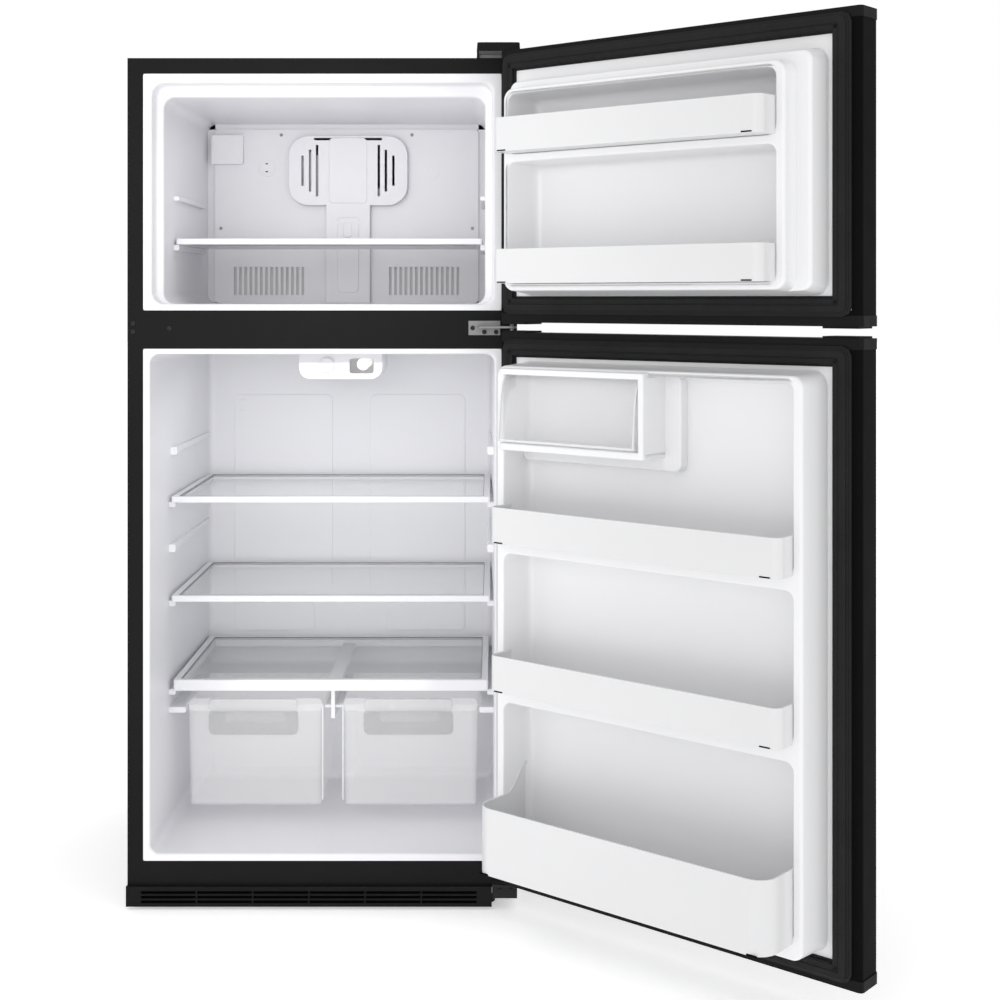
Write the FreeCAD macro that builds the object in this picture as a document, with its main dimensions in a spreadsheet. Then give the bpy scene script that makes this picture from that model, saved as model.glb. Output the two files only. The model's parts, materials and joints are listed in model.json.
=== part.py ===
import FreeCAD, Part
import math
import os
import re
import Sketcher

# Top freezer refrigerator. X runs right, Y runs into the cabinet, Z runs up.
# The origin is on the floor, mid-width, in the plane of the cabinet's front flange.
# Doors are drawn closed and turned about their hinge line by the open angle.

SIZES = {
    # cabinet
    "cab_width": 762, "cab_depth": 686, "cab_top": 1662, "cab_base": 20,
    "sheet": 1.2, "flange": 30.5, "back_flange": 20, "bar_return": 18,
    "mullion_low": 1093.5, "mullion_high": 1168.5, "rail_low": 41, "rail_high": 92,
    "deck_top": 64, "bay_deep": 186, "bay_top": 312, "pan_low": 30, "pan_inset": 41,
    "liner_wall": 3, "insulation_gap": 3,
    # freezer compartment
    "fz_wall": 63, "fz_floor": 1181, "fz_roof": 1590, "fz_rear_wall": 96, "fz_radius": 22,
    "fz_mouth_wall": 48, "fz_mouth_roof": 1613, "fz_mouth_depth": 40,
    "evap_deep": 72, "evap_wall": 2.5, "evap_roof": 1578, "evap_side": 17, "evap_radius": 10,
    "vent_near": 94, "vent_far": 260, "vent_low": 1200, "vent_high": 1264, "vent_slot": 6,
    "shroud_tall": 23, "shroud_half": 135, "shroud_low": 1403, "shroud_high": 1561,
    "shroud_radius": 45, "neck_half": 50, "fan_x": 5, "fan_z": 1482, "fan_radius": 55,
    "fan_clear": 7, "fan_thick": 24, "fz_shelf_side": 6, "fz_shelf_front": 130,
    "fz_shelf_rear": 68, "fz_shelf_z": 1302,
    # fridge compartment
    "fr_wall": 44, "fr_floor": 106, "fr_roof": 1083, "fr_rear_wall": 81, "fr_radius": 18,
    "fr_draft": 0.7, "step_wall": 30, "step_top": 340, "shelf_side": 9,
    "shelf_front": 160, "shelf_rear": 17, "shelf_tall": 12, "shelf_high": 772, "shelf_mid": 568,
    "frame_wide": 14, "glass_thick": 4, "ledge_tall": 12, "ledge_wide": 10,
    "cover_side": 13, "cover_low": 385, "cover_tall": 22, "crisper_front": 180,
    "crisper_rear": 15, "crisper_low": 141, "crisper_high": 352, "crisper_face_high": 365,
    "crisper_out": 301, "crisper_in": 19.5, "crisper_mid": 2.5, "crisper_wall": 2.5, "rim": 10,
    "rim_thick": 4,
    "grip_in": 48, "grip_tall": 15, "grip_out": 12, "rail_gap": 2,
    "housing_x": 7, "housing_half": 89, "housing_front": 300, "housing_back": 470,
    "housing_low": 1019, "knob_x": -22, "knob_z": 1049, "knob_radius": 16, "lamp_x": 52,
    # toe grille, legs and rollers
    "grille_over": 1, "grille_short": 49.5, "grille_low": 6, "grille_high": 45,
    "grille_front": 10, "grille_wall": 2.5, "grille_cap": 28, "leg_inset": 61, "leg_y": 44,
    "leg_radius": 6, "foot_radius": 18, "foot_tall": 8, "roller_radius": 22, "roller_rear": 86,
    "roller_inset": 28, "roller_wide": 16, "axle_radius": 5, "run_clear": 0.08,
    # machine bay
    "comp_x": -215, "comp_rear": 92, "comp_radius": 70, "comp_tall": 90, "coil_left": 30,
    "coil_right": 320, "coil_deep": 158, "coil_rear": 30, "coil_high": 236, "cool_fan_x": -60,
    "cool_fan_rear": 94, "cool_fan_z": 150, "cool_fan_radius": 62,
    # hinges
    "pivot_inset": 11, "pivot_y": -36, "pin_radius": 4, "pin_reach": 14, "plate": 4,
    "hinge_reach": 91, "open_angle": 140, "top_lift": 7.5, "cover_top": 1685, "hood_reach": 79,
    "hood_over": 6, "cover_back": 92,
    # doors
    "door_gap": 14, "door_thick": 59, "door_short": 2, "door_round": 8, "cap": 18,
    "fz_door_low": 1146, "fz_door_high": 1668, "fr_door_low": 66, "fr_door_high": 1126.5,
    "skin_return": 17, "liner_sheet": 2, "gasket_wide": 28, "gasket_hinge": 29,
    "gasket_edge": 58, "gasket_tall": 10.5, "pocket_floor": 5,
    "fz_seal_low": 1193, "fz_seal_high": 1629, "fr_seal_low": 107, "fr_seal_high": 1083,
    "fz_tier_hinge": 46, "fz_tier_edge": 68, "fz_tier_low": 1198, "fz_tier_high": 1604,
    "fz_tier_tall": 50, "fz_dyke_hinge": 68, "fz_dyke_edge": 98, "fz_dyke_low": 1203,
    "fz_dyke_high": 1582, "fz_dyke_tall": 90, "fz_pocket_hinge": 82, "fz_pocket_edge": 117,
    "fz_ledge_a": 1443, "fz_ledge_b": 1458, "fz_pocket_low": 1219, "fz_pocket_high": 1568,
    "fz_rack_reach": 138, "fz_rack_tall": 63,
    "fr_dyke_hinge": 42, "fr_dyke_edge": 70, "fr_dyke_low": 118, "fr_dyke_high": 1072,
    "fr_dyke_tall": 80, "fr_pocket_hinge": 64, "fr_pocket_edge": 91, "fr_pocket_low": 150,
    "fr_pocket_high": 1058, "fr_ledge_a": 442, "fr_ledge_b": 471, "fr_ledge_c": 719,
    "fr_ledge_d": 743, "fr_rack_reach": 125, "fr_rack_tall": 67, "bin_reach": 165,
    "bin_tall": 122, "ear_tall": 50, "rack_wall": 2.5, "rack_radius": 14, "bin_radius": 34,
    "rack_tail": 62, "dairy_side": 376, "dairy_wall": 12, "dairy_low": 912, "dairy_floor": 14,
    "dairy_reach": 96, "lid_gap": 3, "lid_wall": 2.5, "lid_drop": 8, "lid_pin_in": 12,
    "lid_pin_down": 8,
    "handle_in": 40, "handle_wide": 26, "handle_reach": 38, "handle_bar": 14,
    "fz_handle_low": 1196, "fz_handle_high": 1496, "fr_handle_low": 700, "fr_handle_high": 1080,
    "handle_foot": 30,
}

# sizes that follow the cabinet: what each is measured from, less or plus its own clearance above
FITTED = {
    "fz_half": "cab_width / 2 - fz_wall",
    "fz_mouth_half": "cab_width / 2 - fz_mouth_wall",
    "fr_half": "cab_width / 2 - fr_wall",
    "evap_half": "fz_half - evap_side",
    "fz_shelf_half": "fz_half - fz_shelf_side",
    "shelf_half": "fr_half - shelf_side",
    "cover_half": "fr_half - cover_side",
    "grille_left": "cab_width / 2 + grille_over",
    "grille_right": "cab_width / 2 - grille_short",
    "leg_x": "cab_width / 2 - leg_inset",
    "roller_x": "cab_width / 2 - roller_inset",
    "pivot_x": "cab_width / 2 - pivot_inset",
    "hinge_inner": "cab_width / 2 - hinge_reach",
    "cover_left": "cab_width / 2 - hood_reach",
    "cover_right": "cab_width / 2 + hood_over",
    "door_width": "cab_width - door_short",
    "gasket_free": "door_width - gasket_edge",
    "fz_tier_free": "door_width - fz_tier_edge",
    "fz_dyke_free": "door_width - fz_dyke_edge",
    "fz_pocket_free": "door_width - fz_pocket_edge",
    "fr_dyke_free": "door_width - fr_dyke_edge",
    "fr_pocket_free": "door_width - fr_pocket_edge",
    "fz_depth": "cab_depth - fz_rear_wall",
    "fr_depth": "cab_depth - fr_rear_wall",
    "evap_face": "fz_depth - evap_deep",
    "shroud_face": "evap_face - shroud_tall",
    "bay_front": "cab_depth - bay_deep",
    "step_front": "bay_front - step_wall",
    "shelf_back": "fr_depth - shelf_rear",
    "fz_shelf_back": "evap_face - fz_shelf_rear",
    "crisper_back": "step_front - crisper_rear",
    "roller_y": "cab_depth - roller_rear",
    "comp_y": "cab_depth - comp_rear",
    "coil_front": "cab_depth - coil_deep",
    "coil_back": "cab_depth - coil_rear",
    "cool_fan_y": "cab_depth - cool_fan_rear",
}

doc = FreeCAD.newDocument("refrigerator")
sheet = doc.addObject("Spreadsheet::Sheet", "Sizes")
for row, name in enumerate([*SIZES, *FITTED], start=1):
    sheet.set(f"A{row}", name)
    sheet.set(f"B{row}", str(SIZES.get(name, 0)))
    sheet.setAlias(f"B{row}", name)
for row, rule_text in enumerate(FITTED.values(), start=len(SIZES) + 1):
    sheet.set(f"B{row}", "=" + rule_text)
doc.recompute()

nodes = {}


def cells(text):
    """Point every size name in an expression at its spreadsheet cell."""
    return re.sub(r"[a-z][a-z_]*", lambda hit: "Sizes." + hit.group()
                  if hit.group() in SIZES or hit.group() in FITTED else hit.group(), str(text))


def bind(thing, prop, text):
    thing.setExpression(prop, cells(text))


def place(thing, x, y, z):
    for axis, text in zip("xyz", (x, y, z)):
        bind(thing, f".Placement.Base.{axis}", text)


def box(name, x, y, z):
    """A box between two ends along each axis, every end an expression."""
    thing = doc.addObject("Part::Box", name)
    for prop, (low, high) in zip(("Length", "Width", "Height"), (x, y, z)):
        bind(thing, prop, f"({high}) - ({low})")
    place(thing, x[0], y[0], z[0])
    return thing


TURN = {"X": FreeCAD.Rotation(FreeCAD.Vector(0, 1, 0), 90),
        "Y": FreeCAD.Rotation(FreeCAD.Vector(1, 0, 0), -90), "Z": FreeCAD.Rotation()}


def rod(name, axis, x, y, z, radius, length):
    """A cylinder that starts at x, y, z and runs up the named axis."""
    thing = doc.addObject("Part::Cylinder", name)
    thing.Placement = FreeCAD.Placement(FreeCAD.Vector(), TURN[axis])
    bind(thing, "Radius", radius)
    bind(thing, "Height", length)
    place(thing, x, y, z)
    return thing


def cut(name, base, *tools):
    thing = doc.addObject("Part::Cut", name)
    thing.Base = base
    thing.Tool = tools[0] if len(tools) == 1 else join(name + "_tools", *tools)
    return thing


def join(name, *pieces):
    thing = doc.addObject("Part::MultiFuse", name)
    thing.Shapes = list(pieces)
    thing.Refine = True
    return thing


def shared(name, *pieces):
    thing = doc.addObject("Part::MultiCommon", name)
    thing.Shapes = list(pieces)
    return thing


def node(name, thing, *, hung=False):
    """Name a finished sub-part; hung parts swing with a door about the hinge line."""
    thing.Label = name
    if hung:
        bind(thing, "Placement", "placement(vector(0; 0; 0); rotation(vector(0; 0; 1); open_angle);"
             " vector(pivot_x; pivot_y; 0))")
    nodes[name] = thing
    return thing


def origin_plane(body, role):
    return next(item for item in body.Origin.OriginFeatures if item.Role == role)


def rounded_outline(body, name, role, across, up, start, radius):
    """A fully constrained rounded rectangle on an origin plane, moved along its normal."""
    sketch = body.newObject("Sketcher::SketchObject", name)
    sketch.AttachmentSupport = [(origin_plane(body, role), "")]
    sketch.MapMode = "FlatFace"
    wide, tall, r = 400.0, 300.0, 20.0
    ends = [((r, 0), (wide - r, 0)), ((wide, r), (wide, tall - r)),
            ((wide - r, tall), (r, tall)), ((0, tall - r), (0, r))]
    lines = [sketch.addGeometry(Part.LineSegment(FreeCAD.Vector(*a, 0), FreeCAD.Vector(*b, 0)), False)
             for a, b in ends]
    centres = [(wide - r, r, -90), (wide - r, tall - r, 0), (r, tall - r, 90), (r, r, 180)]
    arcs = [sketch.addGeometry(Part.ArcOfCircle(
        Part.Circle(FreeCAD.Vector(x, y, 0), FreeCAD.Vector(0, 0, 1), r),
        math.radians(angle), math.radians(angle + 90)), False) for x, y, angle in centres]
    rule = Sketcher.Constraint
    for i in range(4):
        sketch.addConstraint(rule("Tangent", lines[i], 2, arcs[i], 1))
        sketch.addConstraint(rule("Tangent", arcs[i], 2, lines[(i + 1) % 4], 1))
    for i, direction in enumerate(("Horizontal", "Vertical", "Horizontal", "Vertical")):
        sketch.addConstraint(rule(direction, lines[i]))
    for i in range(3):
        sketch.addConstraint(rule("Equal", arcs[i], arcs[i + 1]))
    sketch.addConstraint(rule("PointOnObject", lines[0], 1, -1))
    sketch.addConstraint(rule("PointOnObject", lines[3], 1, -2))
    named = [("wide", rule("DistanceX", lines[3], 1, lines[1], 1, wide), f"({across[1]}) - ({across[0]})"),
             ("tall", rule("DistanceY", lines[0], 1, lines[2], 1, tall), f"({up[1]}) - ({up[0]})"),
             ("corner", rule("Radius", arcs[0], r), radius)]
    for label, constraint, text in named:
        sketch.renameConstraint(sketch.addConstraint(constraint), label)
        bind(sketch, "Constraints." + label, text)
    bind(sketch, "AttachmentOffset.Base.x", across[0])
    bind(sketch, "AttachmentOffset.Base.y", up[0])
    bind(sketch, "AttachmentOffset.Base.z", f"-({start})" if role == "XZ_Plane" else start)
    return sketch


def pad(name, role, across, up, span, radius, draft="0"):
    """A rounded rectangle padded from span[0] to span[1] along the plane's world axis."""
    body = doc.addObject("PartDesign::Body", name)
    sketch = rounded_outline(body, name + "_outline", role, across, up, span[0], radius)
    feature = body.newObject("PartDesign::Pad", name + "_pad")
    feature.Profile = sketch
    feature.Reversed = role == "XZ_Plane"
    bind(feature, "Length", f"({span[1]}) - ({span[0]})")
    bind(feature, "TaperAngle", f"-({draft})")
    return body


def face_pad(name, x, z, y, radius, draft="0"):
    return pad(name, "XZ_Plane", x, z, y, radius, draft)


def plan_pad(name, x, y, z, radius):
    return pad(name, "XY_Plane", x, y, z, radius)


def polygon(name, role, points, start, length):
    """A prism over a polygon whose corners are expressions, padded along the world axis."""
    body = doc.addObject("PartDesign::Body", name)
    sketch = body.newObject("Sketcher::SketchObject", name + "_outline")
    sketch.AttachmentSupport = [(origin_plane(body, role), "")]
    sketch.MapMode = "FlatFace"
    worth = [[float(present_value(part)) for part in point] for point in points]
    for i, corner in enumerate(worth):
        after = worth[(i + 1) % len(worth)]
        sketch.addGeometry(Part.LineSegment(FreeCAD.Vector(*corner, 0), FreeCAD.Vector(*after, 0)), False)
    rule = Sketcher.Constraint
    for i, point in enumerate(points):
        sketch.addConstraint(rule("Coincident", i, 2, (i + 1) % len(points), 1))
    for i, point in enumerate(points):
        for direction, text, value in zip("XY", point, worth[i]):
            tag = f"p{i}{direction}"
            sketch.renameConstraint(sketch.addConstraint(
                rule("Distance" + direction, -1, 1, i, 1, value)), tag)
            bind(sketch, "Constraints." + tag, text)
    bind(sketch, "AttachmentOffset.Base.z", f"-({start})" if role == "XZ_Plane" else start)
    feature = body.newObject("PartDesign::Pad", name + "_pad")
    feature.Profile = sketch
    feature.Reversed = role == "XZ_Plane"
    bind(feature, "Length", length)
    return body


def present_value(text):
    """The present value of an expression, read back through a spare sheet cell."""
    sheet.set("D1", "=" + re.sub(r"Sizes\.", "", cells(text)))
    sheet.recompute()
    return sheet.get("D1")


def door_x(along):
    """World X, door closed, of a distance from the hinge line towards the free edge."""
    return f"pivot_x - ({along})"


def door_y(inward):
    """World Y, door closed, of a depth inwards from the door's inner plane."""
    return f"({inward}) - door_gap"


# ---------------------------------------------------------------- cabinet shell
half = "cab_width / 2"
for side, sign in (("left", "-1"), ("right", "1")):
    lows = (f"-{half}", f"{half} - sheet")
    edge = lows[0] if sign == "-1" else lows[1]
    wall = box(f"{side}_wall", (edge, f"{edge} + sheet"), ("0", "cab_depth"), ("cab_base", "cab_top"))
    front = polygon(f"{side}_front_flange", "XZ_Plane",
                    [(f"{sign} * {half}", "cab_base"), (f"{sign} * {half}", "cab_top"),
                     (f"{sign} * ({half} - flange)", "cab_top - flange"),
                     (f"{sign} * ({half} - flange)", "cab_base")], "0", "sheet")
    reach = (f"-{half}", f"-{half} + back_flange") if sign == "-1" else (f"{half} - back_flange", half)
    back = box(f"{side}_back_flange", reach, ("cab_depth - sheet", "cab_depth"), ("cab_base", "cab_top"))
    node(f"side_panel_{side}", join(f"{side}_panel_body", wall, front, back))

inside = (f"-{half} + sheet", f"{half} - sheet")
face_gap = (f"-{half} + flange", f"{half} - flange")
back_gap = (f"-{half} + back_flange", f"{half} - back_flange")
roof = box("roof_sheet", inside, ("sheet", "cab_depth - sheet"), ("cab_top - sheet", "cab_top"))
brow = polygon("roof_front_flange", "XZ_Plane",
               [(inside[0], "cab_top"), (inside[1], "cab_top"), (inside[1], "cab_top - sheet"),
                (face_gap[1], "cab_top - flange"), (face_gap[0], "cab_top - flange"),
                (inside[0], "cab_top - sheet")], "0", "sheet")
node("top_panel", join("top_panel_body", roof, brow))
node("cabinet_back_panel", box("back_sheet", back_gap, ("cab_depth - sheet", "cab_depth"),
                               ("bay_top", "cab_top - sheet")))


def front_bar(name, low, high, turned):
    """A front bar with folded returns at the heights given."""
    plate = box(name + "_plate", face_gap, ("0", "sheet"), (low, high))
    returns = [box(f"{name}_return_{i}", face_gap, ("0", "bar_return"), (base, f"{base} + sheet"))
               for i, base in enumerate(turned)]
    return join(name + "_body", plate, *returns)


mullion = node("mullion_bar", front_bar("mullion", "mullion_low", "mullion_high",
                                        ["mullion_low + liner_wall", "mullion_high - liner_wall - sheet"]))
node("lower_front_rail", front_bar("rail", "rail_low", "rail_high", ["rail_low"]))

# ---------------------------------------------------------------- liners
fz_lip = face_pad("fz_lip", face_gap, ("mullion_high", "cab_top - flange"), ("0", "liner_wall"), "4")


def shell_pair(name, half_width, low, high, depth, radius, draft="0"):
    """The outside and inside solids of a thin tub open to the front."""
    grown = "liner_wall"
    outer = face_pad(name + "_outer", (f"-{half_width} - {grown}", f"{half_width} + {grown}"),
                     (f"{low} - {grown}", f"{high} + {grown}"), ("0", f"{depth} + {grown}"),
                     f"{radius} + {grown}", draft)
    inner = face_pad(name + "_inner", (f"-{half_width}", half_width), (low, high), ("0", depth),
                     radius, draft)
    return outer, inner


fz_mouth = shell_pair("fz_mouth", "fz_mouth_half", "fz_floor", "fz_mouth_roof", "fz_mouth_depth",
                      "fz_radius")
fz_main = shell_pair("fz_main", "fz_half", "fz_floor", "fz_roof", "fz_depth", "fz_radius")
fz_outside = join("fz_outside", fz_mouth[0], fz_main[0])
fz_rails = [box(f"fz_rail_{i}", ends, ("fz_shelf_front + 12", "fz_shelf_back"),
                ("fz_shelf_z - ledge_tall", "fz_shelf_z"))
            for i, ends in enumerate([("-fz_half - 1", "-fz_half + ledge_wide"),
                                      ("fz_half - ledge_wide", "fz_half + 1")])]
fz_tub = cut("fz_tub", join("fz_tub_solid", fz_lip, fz_outside), fz_mouth[1], fz_main[1])
freezer_liner = node("freezer_liner", join("freezer_liner_body", fz_tub, *fz_rails))

fr_lip = face_pad("fr_lip", face_gap, ("rail_high", "mullion_low"), ("0", "liner_wall"), "4")
fr_outer, fr_inner = shell_pair("fr_tub", "fr_half", "fr_floor", "fr_roof", "fr_depth", "fr_radius",
                                "fr_draft")
far_out = ("-cab_width", "cab_width")
fr_outside = cut("fr_outside", fr_outer,
                 box("step_out", far_out, ("step_front + liner_wall", "cab_depth"),
                     ("0", "step_top - liner_wall")))
fr_cavity = cut("fr_cavity", fr_inner, box("step_in", far_out, ("step_front", "cab_depth"),
                                           ("0", "step_top")))
shelf_ledge = ("-fr_half + ledge_wide + 3", "fr_half - ledge_wide - 3")
drawer_ledge = ("crisper_mid - crisper_out - rail_gap", "crisper_mid + crisper_out + rail_gap")
ledges = []
for label, top, back, (left_end, right_end) in (
        ("high", "shelf_high", "shelf_back", shelf_ledge), ("mid", "shelf_mid", "shelf_back", shelf_ledge),
        ("cover", "cover_low", "shelf_back", shelf_ledge),
        ("drawer", "crisper_high - rim_thick", "crisper_back", drawer_ledge)):
    for side, ends in (("left", ("-fr_half - 2", left_end)), ("right", (right_end, "fr_half + 2"))):
        ledges.append(box(f"ledge_{label}_{side}", ends, ("shelf_front + 14", back),
                          (f"{top} - ledge_tall", top)))
ledge_set = shared("ledge_set", join("ledge_blocks", *ledges), fr_outer)
fr_tub = cut("fr_tub", join("fr_tub_solid", fr_lip, fr_outside), fr_cavity)
fridge_liner = node("fridge_liner", join("fridge_liner_body", fr_tub, ledge_set))

foam_block = box("foam_block", inside, ("insulation_gap", "cab_depth - sheet"),
                 ("deck_top", "cab_top - sheet"))
bay_block = box("bay_block", far_out, ("bay_front - sheet", "cab_depth"), ("0", "bay_top"))
node("cabinet_foam", cut("cabinet_foam_body", foam_block, bay_block, fz_outside, fr_outside, mullion,
                         box("rail_clear", far_out, ("0", "bar_return"), ("0", "deck_top + 1"))))

# ---------------------------------------------------------------- base, legs, rollers
pan_half = (f"-{half} + pan_inset", f"{half} - pan_inset")
deck_parts = [box("deck_front", inside, ("bar_return", "bay_front"), ("deck_top - sheet", "deck_top")),
              box("deck_riser", inside, ("bay_front - sheet", "bay_front"), ("pan_low", "bay_top")),
              box("deck_rear", inside, ("bay_front - sheet", "cab_depth - sheet"),
                  ("bay_top - sheet", "bay_top")),
              box("deck_pan", pan_half, ("bay_front - sheet", "cab_depth - sheet"),
                  ("pan_low", "pan_low + 2"))]
bores = []
for i, sign in enumerate(("-1", "1")):
    centre = f"{sign} * leg_x"
    deck_parts.append(box(f"leg_block_{i}", (f"{centre} - 18", f"{centre} + 18"),
                          ("leg_y - 18", "leg_y + 18"), ("rail_low", "deck_top")))
    bores.append(rod(f"leg_bore_{i}", "Z", centre, "leg_y", "rail_low - 1",
                     "leg_radius + run_clear", "deck_top - sheet - rail_low + 1"))
    wall_x = f"{sign} * ({half} - pan_inset - 2)"
    deck_parts.append(box(f"axle_ear_{i}", (f"{wall_x} - 2", f"{wall_x} + 2"),
                          ("roller_y - 14", "roller_y + 14"), ("roller_radius - 9", "pan_low + 1")))
    bores.append(rod(f"axle_bore_{i}", "X", f"{wall_x} - 4", "roller_y", "roller_radius",
                     "axle_radius + run_clear", "8"))
node("base_deck", cut("base_deck_body", join("deck_solid", *deck_parts), *bores))
for side, sign in (("left", "-1"), ("right", "1")):
    centre = f"{sign} * leg_x"
    foot = rod(f"foot_{side}", "Z", centre, "leg_y", "0", "foot_radius", "foot_tall")
    stud = rod(f"stud_{side}", "Z", centre, "leg_y", "foot_tall", "leg_radius", "deck_top - foot_tall - 4")
    node(f"leveling_leg_{side}", join(f"leg_{side}", foot, stud))
axle = rod("roller_axle", "X", f"-{half} + sheet + 4", "roller_y", "roller_radius", "axle_radius",
           f"2 * ({half} - sheet - 4)")
wheels = [rod(f"wheel_{i}", "X", f"{sign} * roller_x - roller_wide / 2", "roller_y", "roller_radius",
              "roller_radius", "roller_wide") for i, sign in enumerate(("-1", "1"))]
node("rear_rollers", join("rollers_body", axle, *wheels))

grille_box = box("grille_box", ("-grille_left", "grille_right"), ("-grille_front", "-0.2"),
                 ("grille_low", "grille_high"))
grille_room = box("grille_room", ("-grille_left + grille_wall", "grille_right - grille_wall"),
                  ("-grille_front + grille_wall", "1"), ("grille_low + grille_wall",
                                                         "grille_high - grille_wall"))
slot_cuts = []
for row in range(3):
    low = f"grille_low + 7 + {row} * (grille_high - grille_low - 12) / 3"
    for col in range(6):
        span = "(grille_left + grille_right - 2 * grille_cap) / 6"
        left = f"-grille_left + grille_cap + {col} * {span}"
        slot_cuts.append(box(f"grille_slot_{row}_{col}", (f"{left} + 1.5", f"{left} + {span} - 1.5"),
                             ("-grille_front - 1", "-grille_front + grille_wall + 1"),
                             (low, f"{low} + 5.5")))
clips = [box(f"grille_clip_{i}", (f"{x} - 8", f"{x} + 8"), ("-2", "0"), ("rail_low + 0.2", "grille_high"))
         for i, x in enumerate(("-250", "0", "250"))]
grille_shell = cut("grille_shell", grille_box, grille_room, *slot_cuts)
node("toe_grille", join("grille_body", grille_shell, *clips))

# ---------------------------------------------------------------- hinges
pin_foot = "pivot_x"
top_z = "cab_top + top_lift"
top_plate_x = ("cover_left + 4", f"{half} - 3")
node("top_hinge_bracket", join(
    "top_hinge_body",
    box("top_foot", top_plate_x, ("10", "cover_back - 12"), ("cab_top", "cab_top + 3")),
    box("top_riser", top_plate_x, ("10", "13"), ("cab_top", f"{top_z} + 3")),
    box("top_arm", top_plate_x, ("pivot_y - 9", "13"), (top_z, f"{top_z} + 3")),
    rod("top_pin", "Z", pin_foot, "pivot_y", "fz_door_high - pin_reach", "pin_radius",
        f"{top_z} + 3 - fz_door_high + pin_reach")))
cover_z = ("cab_top", "cover_top")
cover_outer = pad("cover_outer", "XY_Plane", ("cover_left", "cover_right"), ("pivot_y - 16", "cover_back"),
                  cover_z, "9", "4")
cover_inner = box("cover_inner", ("cover_left + 4", "cover_right - 5"), ("pivot_y - 12", "cover_back - 4"),
                  ("cab_top - 1", "cover_top - 4"))
cover_nose = box("cover_nose", ("cover_left - 5", "cover_right + 5"), ("pivot_y - 30", "-2"),
                 ("cab_top - 1", f"{top_z} - 1"))
cover_skirt = box("cover_skirt", (half, "cover_right + 5"), ("pivot_y - 30", "cover_back + 5"),
                  ("cab_top - 1", "cab_top + 0.2"))
node("top_hinge_cover", cut("cover_body", cover_outer, cover_inner, cover_nose, cover_skirt))

mid_z = "(fr_door_high + fz_door_low - plate) / 2"
node("center_hinge_bracket", join(
    "center_hinge_body",
    box("mid_flange", ("hinge_inner - 4", "hinge_inner + 58"), ("-3", "0"),
        (f"{mid_z} - 14", f"{mid_z} + 14")),
    pad("mid_arm", "XY_Plane", ("hinge_inner + 14", f"{half} - 1"), ("pivot_y - 9", "-1"),
        (mid_z, f"{mid_z} + plate"), "8"),
    box("mid_root", ("hinge_inner + 14", "hinge_inner + 58"), ("-12", "0"), (mid_z, f"{mid_z} + plate")),
    rod("mid_pin", "Z", pin_foot, "pivot_y", "fr_door_high - pin_reach", "pin_radius",
        "fz_door_low - fr_door_high + 2 * pin_reach")))
low_z = "fr_door_low - 4 - plate"
node("bottom_hinge_bracket", join(
    "bottom_hinge_body",
    box("low_flange", ("grille_right + 0.5", half), ("-3", "0"), ("cab_base", f"{low_z} + plate")),
    box("low_arm", ("grille_right + 0.5", half), ("pivot_y - 11", "0"), (low_z, f"{low_z} + plate")),
    rod("low_pin", "Z", pin_foot, "pivot_y", f"{low_z} + 1", "pin_radius", "plate + 3 + pin_reach")))
heads = [rod(f"mid_head_{i}", "Y", f"hinge_inner + {off}", "-5", f"{mid_z} + {up}", "4.5", "2")
         for i, (off, up) in enumerate(((4, 0), (27, -8), (50, -8)))]
heads += [rod(f"low_head_{i}", "Y", f"{half} - {off}", "-5", "cab_base + 15", "4.5", "2")
          for i, off in enumerate((12, 34))]
heads += [rod(f"top_head_{i}", "Z", f"cover_left + {off}", "cover_back - 36", "cab_top + 3", "5", "3")
          for i, off in enumerate((18, 42, 64))]
plug_z = "(mullion_low + mullion_high) / 2"
heads += [rod(f"plug_{i}", "Y", x, "-1.5", z, "4.5", "1.5")
          for i, (x, z) in enumerate(((f"-{half} + 11", f"{plug_z} + 12"),
                                      (f"-{half} + 11", f"{plug_z} - 4"),
                                      ("-hinge_inner - 9", f"{plug_z} + 2.6")))]
node("hinge_screws", join("hinge_screws_body", *heads))

# ---------------------------------------------------------------- freezer compartment
evap_z = ("fz_floor", "evap_roof")
evap_out = face_pad("evap_out", ("-evap_half", "evap_half"), evap_z, ("evap_face", "fz_depth"),
                    "evap_radius")
evap_in = face_pad("evap_in", ("-evap_half + evap_wall", "evap_half - evap_wall"),
                   ("fz_floor + evap_wall", "evap_roof - evap_wall"),
                   ("evap_face + evap_wall", "fz_depth + 1"), "evap_radius - evap_wall")
vents = []
for i in range(14):
    step = "(vent_far - vent_near) / 14"
    for sign, start in (("r", f"vent_near + {i} * {step}"), ("l", f"-vent_far + {i} * {step}")):
        vents.append(box(f"vent_{sign}_{i}", (f"{start} + 3", f"{start} + 3 + vent_slot"),
                         ("evap_face - 1", "evap_face + evap_wall + 1"), ("vent_low", "vent_high")))
fan_hole = rod("fan_hole", "Y", "fan_x", "evap_face - 1", "fan_z", "fan_radius + fan_clear",
               "evap_wall + 2")
wiring = face_pad("wiring_box", ("-evap_half - 5", "-evap_half + 67"), ("evap_roof - 81", "evap_roof - 15"),
                  ("evap_face - 18", "evap_face + 1"), "5", "3")
node("evaporator_cover", join("evap_cover_body", cut("evap_body", evap_out, evap_in, fan_hole, *vents),
                              wiring))

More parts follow.
